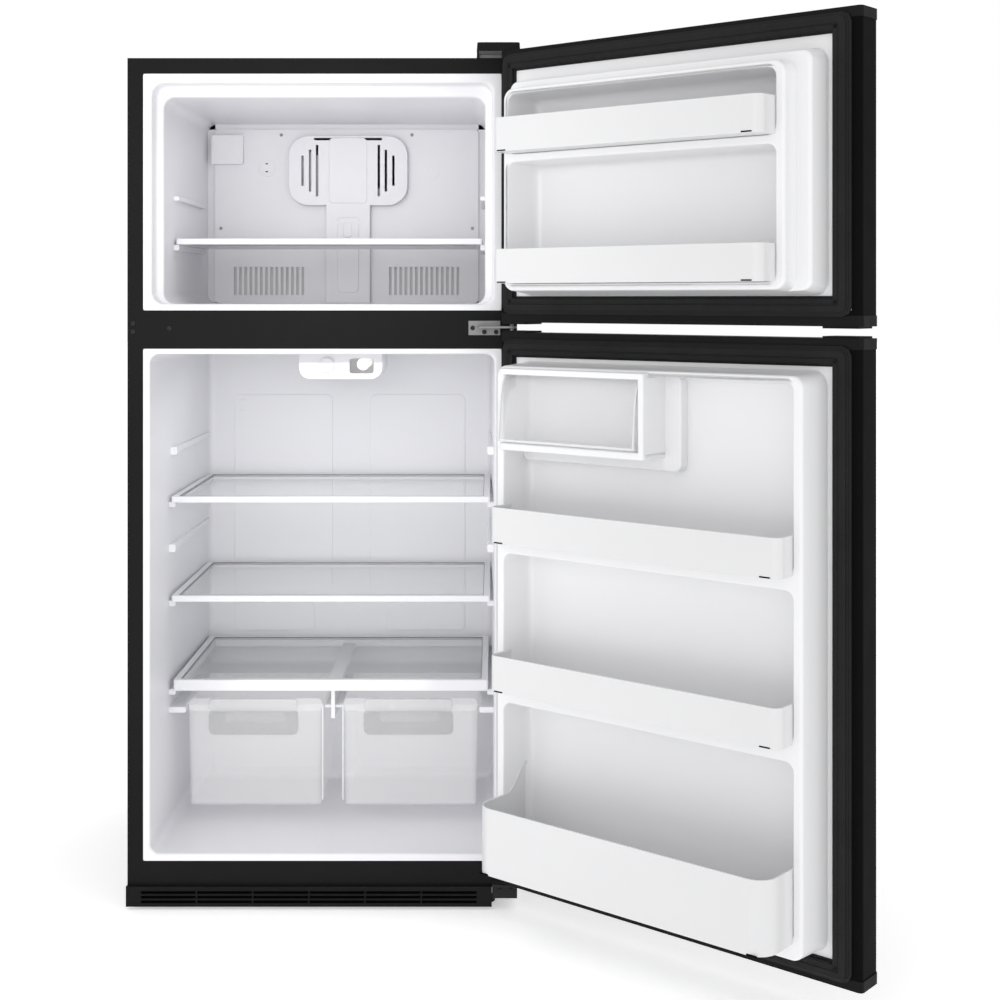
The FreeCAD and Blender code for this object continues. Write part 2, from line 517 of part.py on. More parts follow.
shroud_x = ("fan_x - shroud_half", "fan_x + shroud_half")
neck_x = ("fan_x - neck_half", "fan_x + neck_half")
shroud_out = join("shroud_out",
                  face_pad("shroud_head", shroud_x, ("shroud_low", "shroud_high"),
                           ("shroud_face", "evap_face"), "shroud_radius"),
                  box("shroud_neck", neck_x, ("shroud_face", "evap_face"), ("fz_floor", "shroud_low + 20")))
shroud_in = join("shroud_in",
                 face_pad("shroud_head_in", ("fan_x - shroud_half + evap_wall",
                                             "fan_x + shroud_half - evap_wall"),
                          ("shroud_low + evap_wall", "shroud_high - evap_wall"),
                          ("shroud_face + evap_wall", "evap_face + 1"), "shroud_radius - evap_wall"),
                 box("shroud_neck_in", ("fan_x - neck_half + evap_wall", "fan_x + neck_half - evap_wall"),
                     ("shroud_face + evap_wall", "evap_face + 1"),
                     ("fz_floor + evap_wall", "shroud_low + 22")))
louvres = [box("louvre_top", ("fan_x - 77", "fan_x + 77"), ("shroud_face - 1", "shroud_face + 4"),
               ("shroud_high - 10", "shroud_high - 5"))]
for i, (out, tall) in enumerate(((70, 58), (86, 47), (103, 34))):
    for sign in (-1, 1):
        louvres.append(box(f"louvre_{i}_{sign + 1}", (f"fan_x + {sign * out} - 2.5",
                                                      f"fan_x + {sign * out} + 2.5"),
                           ("shroud_face - 1", "shroud_face + 4"), (f"fan_z - {tall}", f"fan_z + {tall}")))
node("fan_shroud", cut("shroud_body", shroud_out, shroud_in, *louvres))

coil_tubes = [rod(f"evap_tube_{row}_{col}", "X", "-evap_half + 26", f"evap_face + {y}",
                  f"vent_low + {30 + 26 * row}",
                  "4", "2 * evap_half - 52") for row in range(7) for col, y in enumerate((20, 46))]
coil_plates = [box(f"evap_plate_{i}", (x, f"{x} + 1.5"), ("evap_face + 10", "evap_face + 56"),
                   ("vent_low + 16", "vent_low + 204"))
               for i, x in enumerate(("-evap_half + 30", "-evap_half / 2", "0", "evap_half / 2",
                                      "evap_half - 32"))]
coil_straps = [box(f"evap_strap_{i}", (x, f"{x} + 12"), ("evap_face + 54", "fz_depth"),
                   ("vent_low + 100", "vent_low + 112"))
               for i, x in enumerate(("-evap_half + 30", "evap_half - 42"))]
node("evaporator_coil", join("evap_coil_body", *coil_tubes, *coil_plates, *coil_straps))
motor_front = "evap_face + evap_wall + 22"
node("evaporator_fan_motor", join(
    "evap_motor_body", rod("evap_motor_can", "Y", "fan_x", motor_front, "fan_z", "24",
                           f"fz_depth - ({motor_front})"),
    box("evap_motor_strap", ("fan_x - 60", "fan_x + 60"), ("fz_depth - 6", "fz_depth"),
        ("fan_z - 10", "fan_z + 10"))))


def centre_at(axis, start, centre):
    return (start, *centre) if axis == "X" else (centre[0], start, centre[1])


def fan(name, axis, centre, start, thick, radius, count, shaft):
    """Hub, pitched flat blades and a shaft around an axis that runs along X or Y."""
    parts = [rod(name + "_hub", axis, *centre_at(axis, start, centre), f"{radius} * 0.3", thick),
             rod(name + "_shaft", axis, *centre_at(axis, start, centre), "3", shaft)]
    lean = FreeCAD.Rotation(FreeCAD.Vector(1, 0, 0), 35)
    for i in range(count):
        blade = doc.addObject("Part::Box", f"{name}_blade_{i}")
        bind(blade, "Length", f"{radius} * 0.72")
        bind(blade, "Width", "1.8")
        bind(blade, "Height", f"({thick}) * 0.9")
        spin = FreeCAD.Rotation(FreeCAD.Vector(0, 0, 1), i * 360 / count)
        blade.Placement = FreeCAD.Placement(FreeCAD.Vector(), TURN[axis] * spin * lean)
        offset = (TURN[axis] * spin).multVec(FreeCAD.Vector(1, 0, 0))
        along = (TURN[axis]).multVec(FreeCAD.Vector(0, 0, 1))
        base = centre_at(axis, start, centre)
        place(blade, *[f"{base[k]} + {offset[k]:.6f} * {radius} * 0.27 + {along[k]:.1f} * ({thick}) * 0.16"
                       for k in range(3)])
        parts.append(blade)
    return join(name + "_body", *parts)


node("evaporator_fan", fan("evap_fan", "Y", ("fan_x", "fan_z"), "shroud_face + 9", "fan_thick",
                           "fan_radius", 5, f"{motor_front} - shroud_face - 10"))

def glazed_frame(name, x_half, front, back, low, tall, extras=()):
    """A plastic ring frame and the glass pane seated in its groove."""
    pane_z = (f"{low} + {tall} - glass_thick - 1.5", f"{low} + {tall} - 1.5")
    pane = box(name + "_pane", (f"-{x_half} + frame_wide - 4", f"{x_half} - frame_wide + 4"),
               (f"{front} + frame_wide - 4", f"{back} - frame_wide + 4"), pane_z)
    ring = plan_pad(name + "_ring", (f"-{x_half}", x_half), (front, back), (low, f"{low} + {tall}"), "5")
    gap = box(name + "_gap", (f"-{x_half} + frame_wide", f"{x_half} - frame_wide"),
              (f"{front} + frame_wide", f"{back} - frame_wide"), (f"{low} - 1", f"{low} + {tall} + 1"))
    node(name + "_glass", pane)
    frame = cut(name + "_frame_body", ring, gap, pane)
    node(name + "_frame", join(name + "_frame_set", frame, *extras) if extras else frame)


shelf_slab = plan_pad("fz_shelf_slab", ("-fz_shelf_half", "fz_shelf_half"),
                      ("fz_shelf_front", "fz_shelf_back"),
                      ("fz_shelf_z", "fz_shelf_z + shelf_tall"), "5")
shelf_dish = box("fz_shelf_dish", ("-fz_shelf_half + 10", "fz_shelf_half - 10"),
                 ("fz_shelf_front + 4", "fz_shelf_back - 6"),
                 ("fz_shelf_z - 1", "fz_shelf_z + shelf_tall - 4"))
node("freezer_shelf", cut("fz_shelf_body", shelf_slab, shelf_dish))
glazed_frame("upper_shelf", "shelf_half", "shelf_front", "shelf_back", "shelf_high", "shelf_tall")
glazed_frame("lower_shelf", "shelf_half", "shelf_front", "shelf_back", "shelf_mid", "shelf_tall")
rail_top = "crisper_high - rim_thick"
hanger = [box("hanger_post", ("crisper_mid - 4", "crisper_mid + 4"), ("crisper_front + 4", "crisper_back"),
              (f"{rail_top} - 26", "cover_low + 1")),
          box("hanger_beam", ("crisper_mid - 14", "crisper_mid + 14"),
              ("shelf_front + 2", "shelf_back - 2"),
              ("cover_low", "cover_low + 9")),
          box("hanger_rails", ("crisper_mid - crisper_in + rail_gap",
                               "crisper_mid + crisper_in - rail_gap"),
              ("crisper_front + 14", "crisper_back"), (f"{rail_top} - 6", rail_top))]
glazed_frame("crisper_cover", "cover_half", "shelf_front", "shelf_back", "cover_low", "cover_tall", hanger)

# ---------------------------------------------------------------- crispers and controls
for side, ends in (("left", ("crisper_mid - crisper_out", "crisper_mid - crisper_in")),
                   ("right", ("crisper_mid + crisper_in", "crisper_mid + crisper_out"))):
    outer = plan_pad(f"crisper_{side}_outer", ends, ("crisper_front", "crisper_back"),
                     ("crisper_low", "crisper_high"), "12")
    inner = plan_pad(f"crisper_{side}_inner", (f"{ends[0]} + crisper_wall", f"{ends[1]} - crisper_wall"),
                     ("crisper_front + crisper_wall", "crisper_back - crisper_wall"),
                     ("crisper_low + crisper_wall", "crisper_high + 1"), "9.5")
    face = box(f"crisper_{side}_face", (f"{ends[0]} + 4", f"{ends[1]} - 4"),
               ("crisper_front - 1.5", "crisper_front + crisper_wall"),
               ("crisper_low + 6", "crisper_face_high"))
    grip = pad(f"crisper_{side}_grip", "YZ_Plane", ("crisper_front - grip_out", "crisper_front + 2"),
               ("crisper_face_high - grip_tall", "crisper_face_high"),
               (f"{ends[0]} + grip_in", f"{ends[1]} - grip_in"), "4")
    rim = box(f"crisper_{side}_rim", (f"{ends[0]} - rim + rail_gap", f"{ends[1]} + rim - rail_gap"),
              ("crisper_front + 16", "crisper_back"), (rail_top, "crisper_high"))
    node(f"crisper_{side}", cut(f"crisper_{side}_body",
                                join(f"crisper_{side}_solid", outer, face, grip, rim), inner))

housing_x = ("housing_x - housing_half", "housing_x + housing_half")
housing_out = face_pad("housing_out", housing_x, ("housing_low", "fr_roof + 60"),
                       ("housing_front", "housing_back"), "24")
housing_in = face_pad("housing_in", (f"{housing_x[0]} + 2.5", f"{housing_x[1]} - 2.5"),
                      ("housing_low + 2.5", "fr_roof + 90"), ("housing_front + 2.5", "housing_back - 2.5"),
                      "21.5")
lamp_window = face_pad("lamp_window", ("lamp_x - 26", "lamp_x + 26"), ("knob_z - 18", "knob_z + 14"),
                       ("housing_front - 1", "housing_front + 4"), "6")
knob_bore = rod("knob_bore", "Y", "knob_x", "housing_front - 1", "knob_z", "3 + run_clear", "5")
node("control_housing", cut("housing_body", shared("housing_fit", housing_out, fr_inner),
                            housing_in, lamp_window, knob_bore))
node("temperature_knob", join("knob_body",
                              rod("knob_disc", "Y", "knob_x", "housing_front - 7", "knob_z", "knob_radius",
                                  "6.5"),
                              rod("knob_shaft", "Y", "knob_x", "housing_front - 1", "knob_z", "3", "9")))
bulb = doc.addObject("Part::Sphere", "lamp_globe")
bind(bulb, "Radius", "13")
place(bulb, "lamp_x", "housing_front + 40", "knob_z")
node("lamp_bulb", join("lamp_body", bulb,
                       rod("lamp_neck", "Y", "lamp_x", "housing_front + 44", "knob_z", "7", "40"),
                       rod("lamp_socket", "Y", "lamp_x", "housing_front + 66", "knob_z", "11",
                           "housing_back - 2.5 - housing_front - 66")))

# ---------------------------------------------------------------- machine bay
pan_top = "pan_low + 2"
tray_x, tray_y = ("coil_left - 14", "coil_right + 14"), ("coil_front - 10", "coil_back + 12")
node("drain_pan", cut("tray_body", plan_pad("tray_out", tray_x, tray_y, (pan_top, "pan_low + 24"), "10"),
                      plan_pad("tray_in", ("coil_left - 12", "coil_right + 12"),
                               ("coil_front - 8", "coil_back + 10"),
                               ("pan_low + 4", "pan_low + 30"), "8")))
coil_rows = [rod(f"cond_tube_{row}_{col}", "X", "coil_left", f"coil_front + {18 + 30 * col}",
                 f"pan_low + {50 + 36 * row}",
                 "3.5", "coil_right - coil_left") for row in range(5) for col in range(4)]
coil_ends = [box(f"cond_plate_{i}", (x, f"{x} + 2"), ("coil_front", "coil_back"),
                 ("pan_low + 4", "coil_high"))
             for i, x in enumerate(("coil_left + 8", "(coil_left + coil_right) / 2", "coil_right - 10"))]
node("condenser_coil", join("cond_coil_body", *coil_rows, *coil_ends))
dome = doc.addObject("Part::Ellipsoid", "comp_dome")
bind(dome, "Radius1", "comp_radius * 0.75")
bind(dome, "Radius2", "comp_radius")
place(dome, "comp_x", "comp_y", "pan_low + 34 + comp_tall")
belly = doc.addObject("Part::Ellipsoid", "comp_belly")
bind(belly, "Radius1", "24")
bind(belly, "Radius2", "comp_radius")
place(belly, "comp_x", "comp_y", "pan_low + 34")
node("compressor", join(
    "comp_body", rod("comp_can", "Z", "comp_x", "comp_y", "pan_low + 34", "comp_radius", "comp_tall"),
    dome, belly,
    box("comp_base", ("comp_x - 92", "comp_x + 92"), ("comp_y - 40", "comp_y + 40"),
        ("pan_low + 10", "pan_low + 14")),
    *[rod(f"comp_foot_{i}", "Z", f"comp_x + {x}", f"comp_y + {y}", pan_top, "11", "10")
      for i, (x, y) in enumerate(((-80, -28), (80, -28), (-80, 28), (80, 28)))]))
fan_plate = ("cool_fan_x + 14", "cool_fan_x + 17")
bay_plate = cut("bay_plate", box("bay_sheet", fan_plate, ("bay_front", "cab_depth - 16"),
                                 (pan_top, "bay_top - sheet")),
                rod("bay_hole", "X", "cool_fan_x + 10", "cool_fan_y", "cool_fan_z",
                    "cool_fan_radius + fan_clear", "12"))
node("condenser_fan_motor", join(
    "cool_motor_body", bay_plate,
    rod("cool_motor_can", "X", "cool_fan_x + 30", "cool_fan_y", "cool_fan_z", "26", "40"),
    box("cool_motor_strut", ("cool_fan_x + 40", "cool_fan_x + 46"), ("cool_fan_y - 80", "cool_fan_y + 80"),
        ("cool_fan_z - 6", "cool_fan_z + 6")),
    *[box(f"cool_motor_leg_{i}", ("cool_fan_x + 16", "cool_fan_x + 46"), (y, f"{y} + 6"),
          ("cool_fan_z - 6", "cool_fan_z + 6")) for i, y in enumerate(("cool_fan_y - 80",
                                                                       "cool_fan_y + 74"))]))
node("condenser_fan", fan("cool_fan", "X", ("cool_fan_y", "cool_fan_z"), "cool_fan_x", "fan_thick",
                          "cool_fan_radius", 5, "29"))
cover_sheet = box("cover_sheet", back_gap, ("cab_depth - sheet", "cab_depth"), ("cab_base", "bay_top"))
breathers = [box(f"breather_{row}_{col}", (f"-300 + {x}", f"-250 + {x}"),
                 ("cab_depth - 5", "cab_depth + 1"), (f"bay_top - {z} - 8", f"bay_top - {z}"))
             for row, z in enumerate((60, 84, 108, 132, 156)) for col,
             x in enumerate((0, 80, 160, 240, 320, 400, 480, 550))]
gland = [rod("gland_nut", "Y", "-320", "cab_depth - sheet", "bay_top - 24", "11", "4 + sheet"),
         rod("gland_nose", "Y", "-320", "cab_depth + 3", "bay_top - 24", "7", "8")]
node("rear_access_cover", join("access_set", cut("access_body", cover_sheet, *breathers), *gland))


# ---------------------------------------------------------------- doors
def liner_form(tag, tiers, pockets, inset, start):
    """The solid behind a door liner's face: its tiers less its pockets, drawn in by an inset."""
    steps = []
    for i, (hinge, free, low, high, tall, draft) in enumerate(tiers):
        steps.append(face_pad(f"{tag}_tier_{i}", (f"{door_x(free)} + {inset}",
                                                  f"{door_x(hinge)} - {inset}"),
                              (f"{low} + {inset}", f"{high} - {inset}"),
                              (start, f"{door_y(tall)} - {inset}"), f"24 - {inset}", draft))
    wells = []
    for i, (hinge, free, low, high) in enumerate(pockets):
        wells.append(face_pad(f"{tag}_well_{i}", (f"{door_x(free)} - {inset}",
                                                  f"{door_x(hinge)} + {inset}"),
                              (f"{low} - {inset}", f"{high} + {inset}"),
                              (f"{door_y('pocket_floor')} - {inset}", door_y("200")), f"14 + {inset}"))
    return (join(tag + "_steps", *steps) if len(steps) > 1 else steps[0]), wells


def rack(name, hinge, free, low, tall, reach, tail, radius, form):
    """A bin front with end walls and a floor, open at the back where it seats in the liner's form."""
    x = (door_x(free), door_x(hinge))
    grown = "rack_wall"
    outer = plan_pad(name + "_outer", x, (door_y("-10"), door_y(reach)), (low, f"{low} + {tall}"), radius)
    inner = plan_pad(name + "_inner", (f"{x[0]} + {grown}", f"{x[1]} - {grown}"),
                     (door_y("-20"), f"{door_y(reach)} - {grown}"),
                     (f"{low} + {grown}", f"{low} + {tall} + 1"), f"{radius} - {grown}")
    back = box(name + "_back", far_out, (door_y("-60"), door_y(tail)),
               (f"{low} - 1", f"{low} + {tall} + 2"))
    return cut(name + "_body", outer, inner, back, form)


def door(tag, low, high, seal, tiers, pockets, extras, handle):
    """One door: skin, caps, foam, liner, gasket and handle. Returns the solid that its racks seat against."""
    x = (f"{half} - door_width", half)
    y = (door_y("-door_thick"), door_y("0"))
    body_z = (f"{low} + cap", f"{high} - cap")
    skin_solid = plan_pad(tag + "_skin_out", x, y, body_z, "door_round")
    skin_room = plan_pad(tag + "_skin_in", (f"{x[0]} + sheet", f"{x[1]} - sheet"),
                         (f"{y[0]} + sheet", f"{y[1]} - sheet"), (f"{low} + cap - 1", f"{high} - cap + 1"),
                         "door_round - sheet")
    mouth = box(tag + "_mouth", (f"{x[0]} + skin_return", f"{x[1]} - skin_return"),
                (door_y("-5"), door_y("5")), (f"{low} + cap + 8", f"{high} - cap - 8"))
    node(f"{tag}_door_skin", cut(tag + "_skin_body", skin_solid, skin_room, mouth), hung=True)
    caps = []
    for end, z, nub in (("low", (low, f"{low} + cap"), (f"{low} - 3.5", f"{low} + 1")),
                        ("high", (f"{high} - cap", high), (f"{high} - 1", f"{high} + 3.5"))):
        outline = plan_pad(f"{tag}_cap_{end}", (f"{x[0]} - 1.5", x[1]), y, z, "door_round")
        pieces = [outline]
        if (tag, end) != ("freezer", "high") and (tag, end) != ("fridge", "low"):
            pieces += [box(f"{tag}_nub_{end}", (f"{x[0]} + 6", f"{x[0]} + 72"),
                           (f"{y[0]} + 8", f"{y[1]} - 4"), nub),
                       box(f"{tag}_seat_{end}", (f"{x[1]} - 62", f"{x[1]} - 4"),
                           (f"{y[0]} + 8", f"{y[1]} - 2"), nub)]
        caps.append(join(f"{tag}_cap_set_{end}", *pieces) if len(pieces) > 1 else outline)
    bore_low = rod(tag + "_bore_low", "Z", "pivot_x", "pivot_y", f"{low} - 6", "pin_radius + run_clear",
                   "pin_reach + 8")
    bore_high = rod(tag + "_bore_high", "Z", "pivot_x", "pivot_y", f"{high} - pin_reach - 2",
                    "pin_radius + run_clear", "pin_reach + 8")
    node(f"{tag}_door_caps", cut(tag + "_caps_body", join(tag + "_caps", *caps), bore_low, bore_high),
         hung=True)

    face, wells = liner_form(tag + "_face", tiers, pockets, "0", door_y("0"))
    rear, rear_wells = liner_form(tag + "_rear", tiers, pockets, "liner_sheet", f"{door_y('0')} - sheet")
    core = cut(tag + "_core", rear, *rear_wells)
    brim = face_pad(tag + "_brim", (door_x("gasket_free + gasket_wide"),
                                    door_x("gasket_hinge - gasket_wide")),
                    (f"{seal[0]} - gasket_wide", f"{seal[1]} + gasket_wide"),
                    (door_y("0"), door_y("liner_sheet")), "8")
    form = cut(tag + "_form", face, *wells)
    liner = cut(tag + "_liner_shell", join(tag + "_liner_solid", brim, face), *wells, core)
    node(f"{tag}_door_liner", join(tag + "_liner_body", liner, *extras) if extras else liner, hung=True)
    bulk = box(tag + "_bulk", (f"{x[0]} + 8", f"{x[1]} - 8"), (f"{y[0]} + sheet", f"{y[1]} - sheet"),
               (f"{low} + cap", f"{high} - cap"))
    node(f"{tag}_door_foam", join(tag + "_foam_body", bulk, core), hung=True)

    rings = []
    for i, (narrow, start, end) in enumerate((("0", "liner_sheet", "liner_sheet + gasket_tall * 0.5"),
                                              ("4", "liner_sheet + gasket_tall * 0.5",
                                               "liner_sheet + gasket_tall"))):
        outer = face_pad(f"{tag}_seal_out_{i}",
                         (f"{door_x('gasket_free + gasket_wide')} + {narrow}",
                          f"{door_x('gasket_hinge - gasket_wide')} - {narrow}"),
                         (f"{seal[0]} - gasket_wide + {narrow}", f"{seal[1]} + gasket_wide - {narrow}"),
                         (door_y(start), door_y(end)), "8")
        inner = face_pad(f"{tag}_seal_in_{i}", (f"{door_x('gasket_free')} - {narrow}",
                                                f"{door_x('gasket_hinge')} + {narrow}"),
                         (f"{seal[0]} - {narrow}", f"{seal[1]} + {narrow}"), (door_y("0"), door_y("20")),
                         "5")
        rings.append(cut(f"{tag}_seal_{i}", outer, inner))
    node(f"{tag}_door_gasket", join(tag + "_gasket_body", *rings), hung=True)

    bar_x = (f"{x[0]} + handle_in", f"{x[0]} + handle_in + handle_wide")
    bar_y = (f"{y[0]} - handle_reach", f"{y[0]} - handle_reach + handle_bar")
    bar = pad(tag + "_bar", "XY_Plane", bar_x, bar_y, handle, "6")
    feet = [pad(f"{tag}_bar_foot_{i}", "XY_Plane", bar_x, (f"{bar_y[0]} + 2", y[0]), ends, "6")
            for i, ends in enumerate(((handle[0], f"{handle[0]} + handle_foot"),
                                      (f"{handle[1]} - handle_foot", handle[1])))]
    node(f"{tag}_door_handle", join(tag + "_handle_body", bar, *feet), hung=True)
    return form


fz_form = door("freezer", "fz_door_low", "fz_door_high", ("fz_seal_low", "fz_seal_high"),
     [("fz_tier_hinge", "fz_tier_free", "fz_tier_low", "fz_tier_high", "fz_tier_tall", "8"),
      ("fz_dyke_hinge", "fz_dyke_free", "fz_dyke_low", "fz_dyke_high", "fz_dyke_tall", "2")],
     [("fz_pocket_hinge", "fz_pocket_free", "fz_pocket_low", "fz_ledge_a"),
      ("fz_pocket_hinge", "fz_pocket_free", "fz_ledge_b", "fz_pocket_high")],
     [], ("fz_handle_low", "fz_handle_high"))
for place_name, low in (("upper", "fz_ledge_b"), ("lower", "fz_pocket_low")):
    node(f"freezer_rack_{place_name}",
         rack(f"fz_rack_{place_name}", "fz_pocket_hinge", "fz_pocket_free", low, "fz_rack_tall",
              "fz_rack_reach", "rack_tail", "rack_radius", fz_form), hung=True)

dairy_x = (door_x("dairy_side"), door_x("fr_pocket_hinge - 1"))
wall_x = (door_x("dairy_side + dairy_wall"), door_x("dairy_side"))
dairy_parts = [
    box("dairy_shelf", (wall_x[0], dairy_x[1]), (door_y("pocket_floor - 1"), door_y("dairy_reach")),
        ("dairy_low", "dairy_low + dairy_floor")),
    box("dairy_cheek", wall_x, (door_y("pocket_floor - 1"), door_y("dairy_reach")),
        ("dairy_low", "fr_pocket_high + 1"))]
fr_form = door("fridge", "fr_door_low", "fr_door_high", ("fr_seal_low", "fr_seal_high"),
     [("fr_dyke_hinge", "fr_dyke_free", "fr_dyke_low", "fr_dyke_high", "fr_dyke_tall", "3")],
     [("fr_pocket_hinge", "fr_pocket_free", "fr_pocket_low", "fr_ledge_a"),
      ("fr_pocket_hinge", "fr_pocket_free", "fr_ledge_b", "fr_ledge_c"),
      ("fr_pocket_hinge", "fr_pocket_free", "fr_ledge_d", "fr_pocket_high")],
     dairy_parts, ("fr_handle_low", "fr_handle_high"))
for place_name, low in (("upper", "fr_ledge_d"), ("lower", "fr_ledge_b")):
    node(f"fridge_rack_{place_name}",
         rack(f"fr_rack_{place_name}", "fr_pocket_hinge", "fr_pocket_free", low, "fr_rack_tall",
              "fr_rack_reach", "rack_tail", "rack_radius", fr_form), hung=True)
bin_tray = rack("gallon", "fr_pocket_hinge", "fr_pocket_free", "fr_pocket_low", "bin_tall", "bin_reach",
                "pocket_floor", "bin_radius", fr_form)
ear = polygon("gallon_ear", "YZ_Plane",
              [(door_y("pocket_floor"), "fr_pocket_low + bin_tall - 1"),
               (door_y("pocket_floor + 62"), "fr_pocket_low + bin_tall - 1"),
               (door_y("pocket_floor + 46"), "fr_pocket_low + bin_tall + ear_tall"),
               (door_y("pocket_floor + 12"), "fr_pocket_low + bin_tall + ear_tall")],
              f"{door_x('fr_pocket_hinge')} - rack_wall", "rack_wall")
node("gallon_bin", join("gallon_bin_body", bin_tray, ear), hung=True)

lid_x = (f"{door_x('dairy_side')} + lid_gap", f"{door_x('fr_pocket_hinge')} - lid_gap")
lid_z = ("dairy_low + dairy_floor + 2", "fr_pocket_high - lid_drop")
lid_out = plan_pad("lid_out", lid_x, (door_y("dairy_reach - 46"), door_y("dairy_reach + 6")), lid_z, "6")
lid_in = plan_pad("lid_in", (f"{lid_x[0]} + lid_wall", f"{lid_x[1]} - lid_wall"),
                  (door_y("dairy_reach - 60"), f"{door_y('dairy_reach + 6')} - lid_wall"),
                  (f"{lid_z[0]} - 1", f"{lid_z[1]} - lid_wall"), "3.5")
lid_bite = polygon("lid_bite", "YZ_Plane",
                   [(door_y("dairy_reach - 60"), f"{lid_z[0]} - 1"),
                    (door_y("dairy_reach + 1"), f"{lid_z[0]} - 1"),
                    (door_y("dairy_reach - 18"), f"{lid_z[1]} - 34"),
                    (door_y("dairy_reach - 60"), f"{lid_z[1]} - 34")],
                   f"{lid_x[0]} - 10", f"({lid_x[1]}) - ({lid_x[0]}) + 20")
pins = [rod(f"lid_pin_{i}", "X", x, door_y("dairy_reach - lid_pin_in"), f"{lid_z[1]} - lid_pin_down", "3",
            "lid_gap")
        for i, x in enumerate((lid_x[1], f"{lid_x[0]} - lid_gap"))]
node("dairy_lid", cut("dairy_lid_body", join("lid_solid", lid_out, *pins), lid_in, lid_bite), hung=True)

doc.recompute()
faults = [item.Name for item in doc.Objects if "Invalid" in item.State or "Error" in item.State]
if faults:
    raise SystemExit("objects in error: " + ", ".join(faults))
os.makedirs("parts", exist_ok=True)
for name, thing in nodes.items():
    if thing.Shape.isNull() or not thing.Shape.isValid():
        raise SystemExit("bad shape: " + name)
    thing.Shape.exportStep(f"parts/{name}.step")
print(len(nodes), "sub-parts")
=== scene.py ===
"""Top freezer refrigerator: finished surfaces, materials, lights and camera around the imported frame."""
import json
import logging
import math
from collections.abc import Callable, Sequence
from dataclasses import dataclass
from enum import Enum

import bmesh
import bpy
import numpy as np
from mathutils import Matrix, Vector
from mathutils.geometry import tessellate_polygon


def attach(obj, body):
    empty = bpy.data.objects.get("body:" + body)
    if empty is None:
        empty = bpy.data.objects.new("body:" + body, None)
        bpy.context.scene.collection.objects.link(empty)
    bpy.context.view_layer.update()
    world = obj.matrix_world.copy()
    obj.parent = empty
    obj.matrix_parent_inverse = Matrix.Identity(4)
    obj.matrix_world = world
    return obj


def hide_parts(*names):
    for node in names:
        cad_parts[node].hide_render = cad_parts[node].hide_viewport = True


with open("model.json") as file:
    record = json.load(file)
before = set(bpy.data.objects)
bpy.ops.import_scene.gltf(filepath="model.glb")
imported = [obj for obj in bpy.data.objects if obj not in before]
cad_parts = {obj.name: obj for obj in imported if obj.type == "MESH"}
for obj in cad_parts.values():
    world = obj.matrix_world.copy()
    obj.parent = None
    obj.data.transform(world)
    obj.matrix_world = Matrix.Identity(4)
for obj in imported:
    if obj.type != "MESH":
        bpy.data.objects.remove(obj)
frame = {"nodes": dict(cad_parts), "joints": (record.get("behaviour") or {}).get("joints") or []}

LOG = logging.getLogger("refrigerator")
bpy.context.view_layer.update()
MM = 0.001
Array = np.ndarray
Place = Callable[[Array], Array]


# ------------------------------------------------------------------ surfaces
class Facing(Enum):
    """The world axes that an outline's across, up and level run along."""

    FRONT = (0, 2, 1)
    PLAN = (0, 1, 2)
    SIDE = (1, 2, 0)

    def points(self, across: Array, up: Array, level: Array) -> Array:
        """Put across, up and level arrays in x, y, z order, one point a row."""
        out = np.empty(across.shape + (3,))
        for axis, values in zip(self.value, (across, up, level)):
            out[..., axis] = values
        return out.reshape(-1, 3)


@dataclass
class Surface:
    """Points in millimetres and the faces over them."""

    points: Array
    faces: list[list[int]]

    def __add__(self, other: "Surface") -> "Surface":
        """Both surfaces as one."""
        shift = len(self.points)
        return Surface(np.vstack([self.points, other.points]),
                       self.faces + [[i + shift for i in face] for face in other.faces])


def no_surface() -> Surface:
    """A surface with nothing in it, to add to."""
    return Surface(np.empty((0, 3)), [])


def grid_faces(rows: int, cols: int, wrap_rows: bool = False) -> list[list[int]]:
    """Quads over rows of points that close round their columns, and round their rows if asked."""
    r = np.arange(rows if wrap_rows else rows - 1)[:, None]
    c = np.arange(cols)[None, :]
    r2, c2 = (r + 1) % rows, (c + 1) % cols
    quads = np.stack([r * cols + c, r * cols + c2, r2 * cols + c2, r2 * cols + c], axis=-1)
    return quads.reshape(-1, 4).tolist()


def profile(rows: Sequence[Sequence[float]], rounds: Sequence[float], turns: int = 5) -> Array:
    """A run of rounded rectangles with the run's own corners rounded.

    Each row is left, right, low, high, corner radius and level. A corner of the run becomes
    (1 - t)^2 * a + 2 t (1 - t) * corner + t^2 * b, with a and b the given distance from it.

    Args:
        rows: the rectangles at the corners of the run.
        rounds: the distance for each of them, 0 for a sharp one.
        turns: steps in each rounded corner.
    Returns:
        The finer run, one rectangle a row.
    """
    table = np.array(rows, float)
    out = [table[:1]]
    t = np.linspace(0, 1, turns + 1)[:, None]
    for i in range(1, len(table) - 1):
        steps = table[[i - 1, i + 1]] - table[i]
        length = np.hypot(steps[:, 5], np.abs(steps[:, :4]).max(axis=1))
        a, b = table[i] + steps * np.minimum(rounds[i] / length, 0.5)[:, None]
        bend = (1 - t) ** 2 * a + 2 * t * (1 - t) * table[i] + t ** 2 * b
        out.append(bend if rounds[i] else table[i:i + 1])
    return np.vstack(out + [table[-1:]])


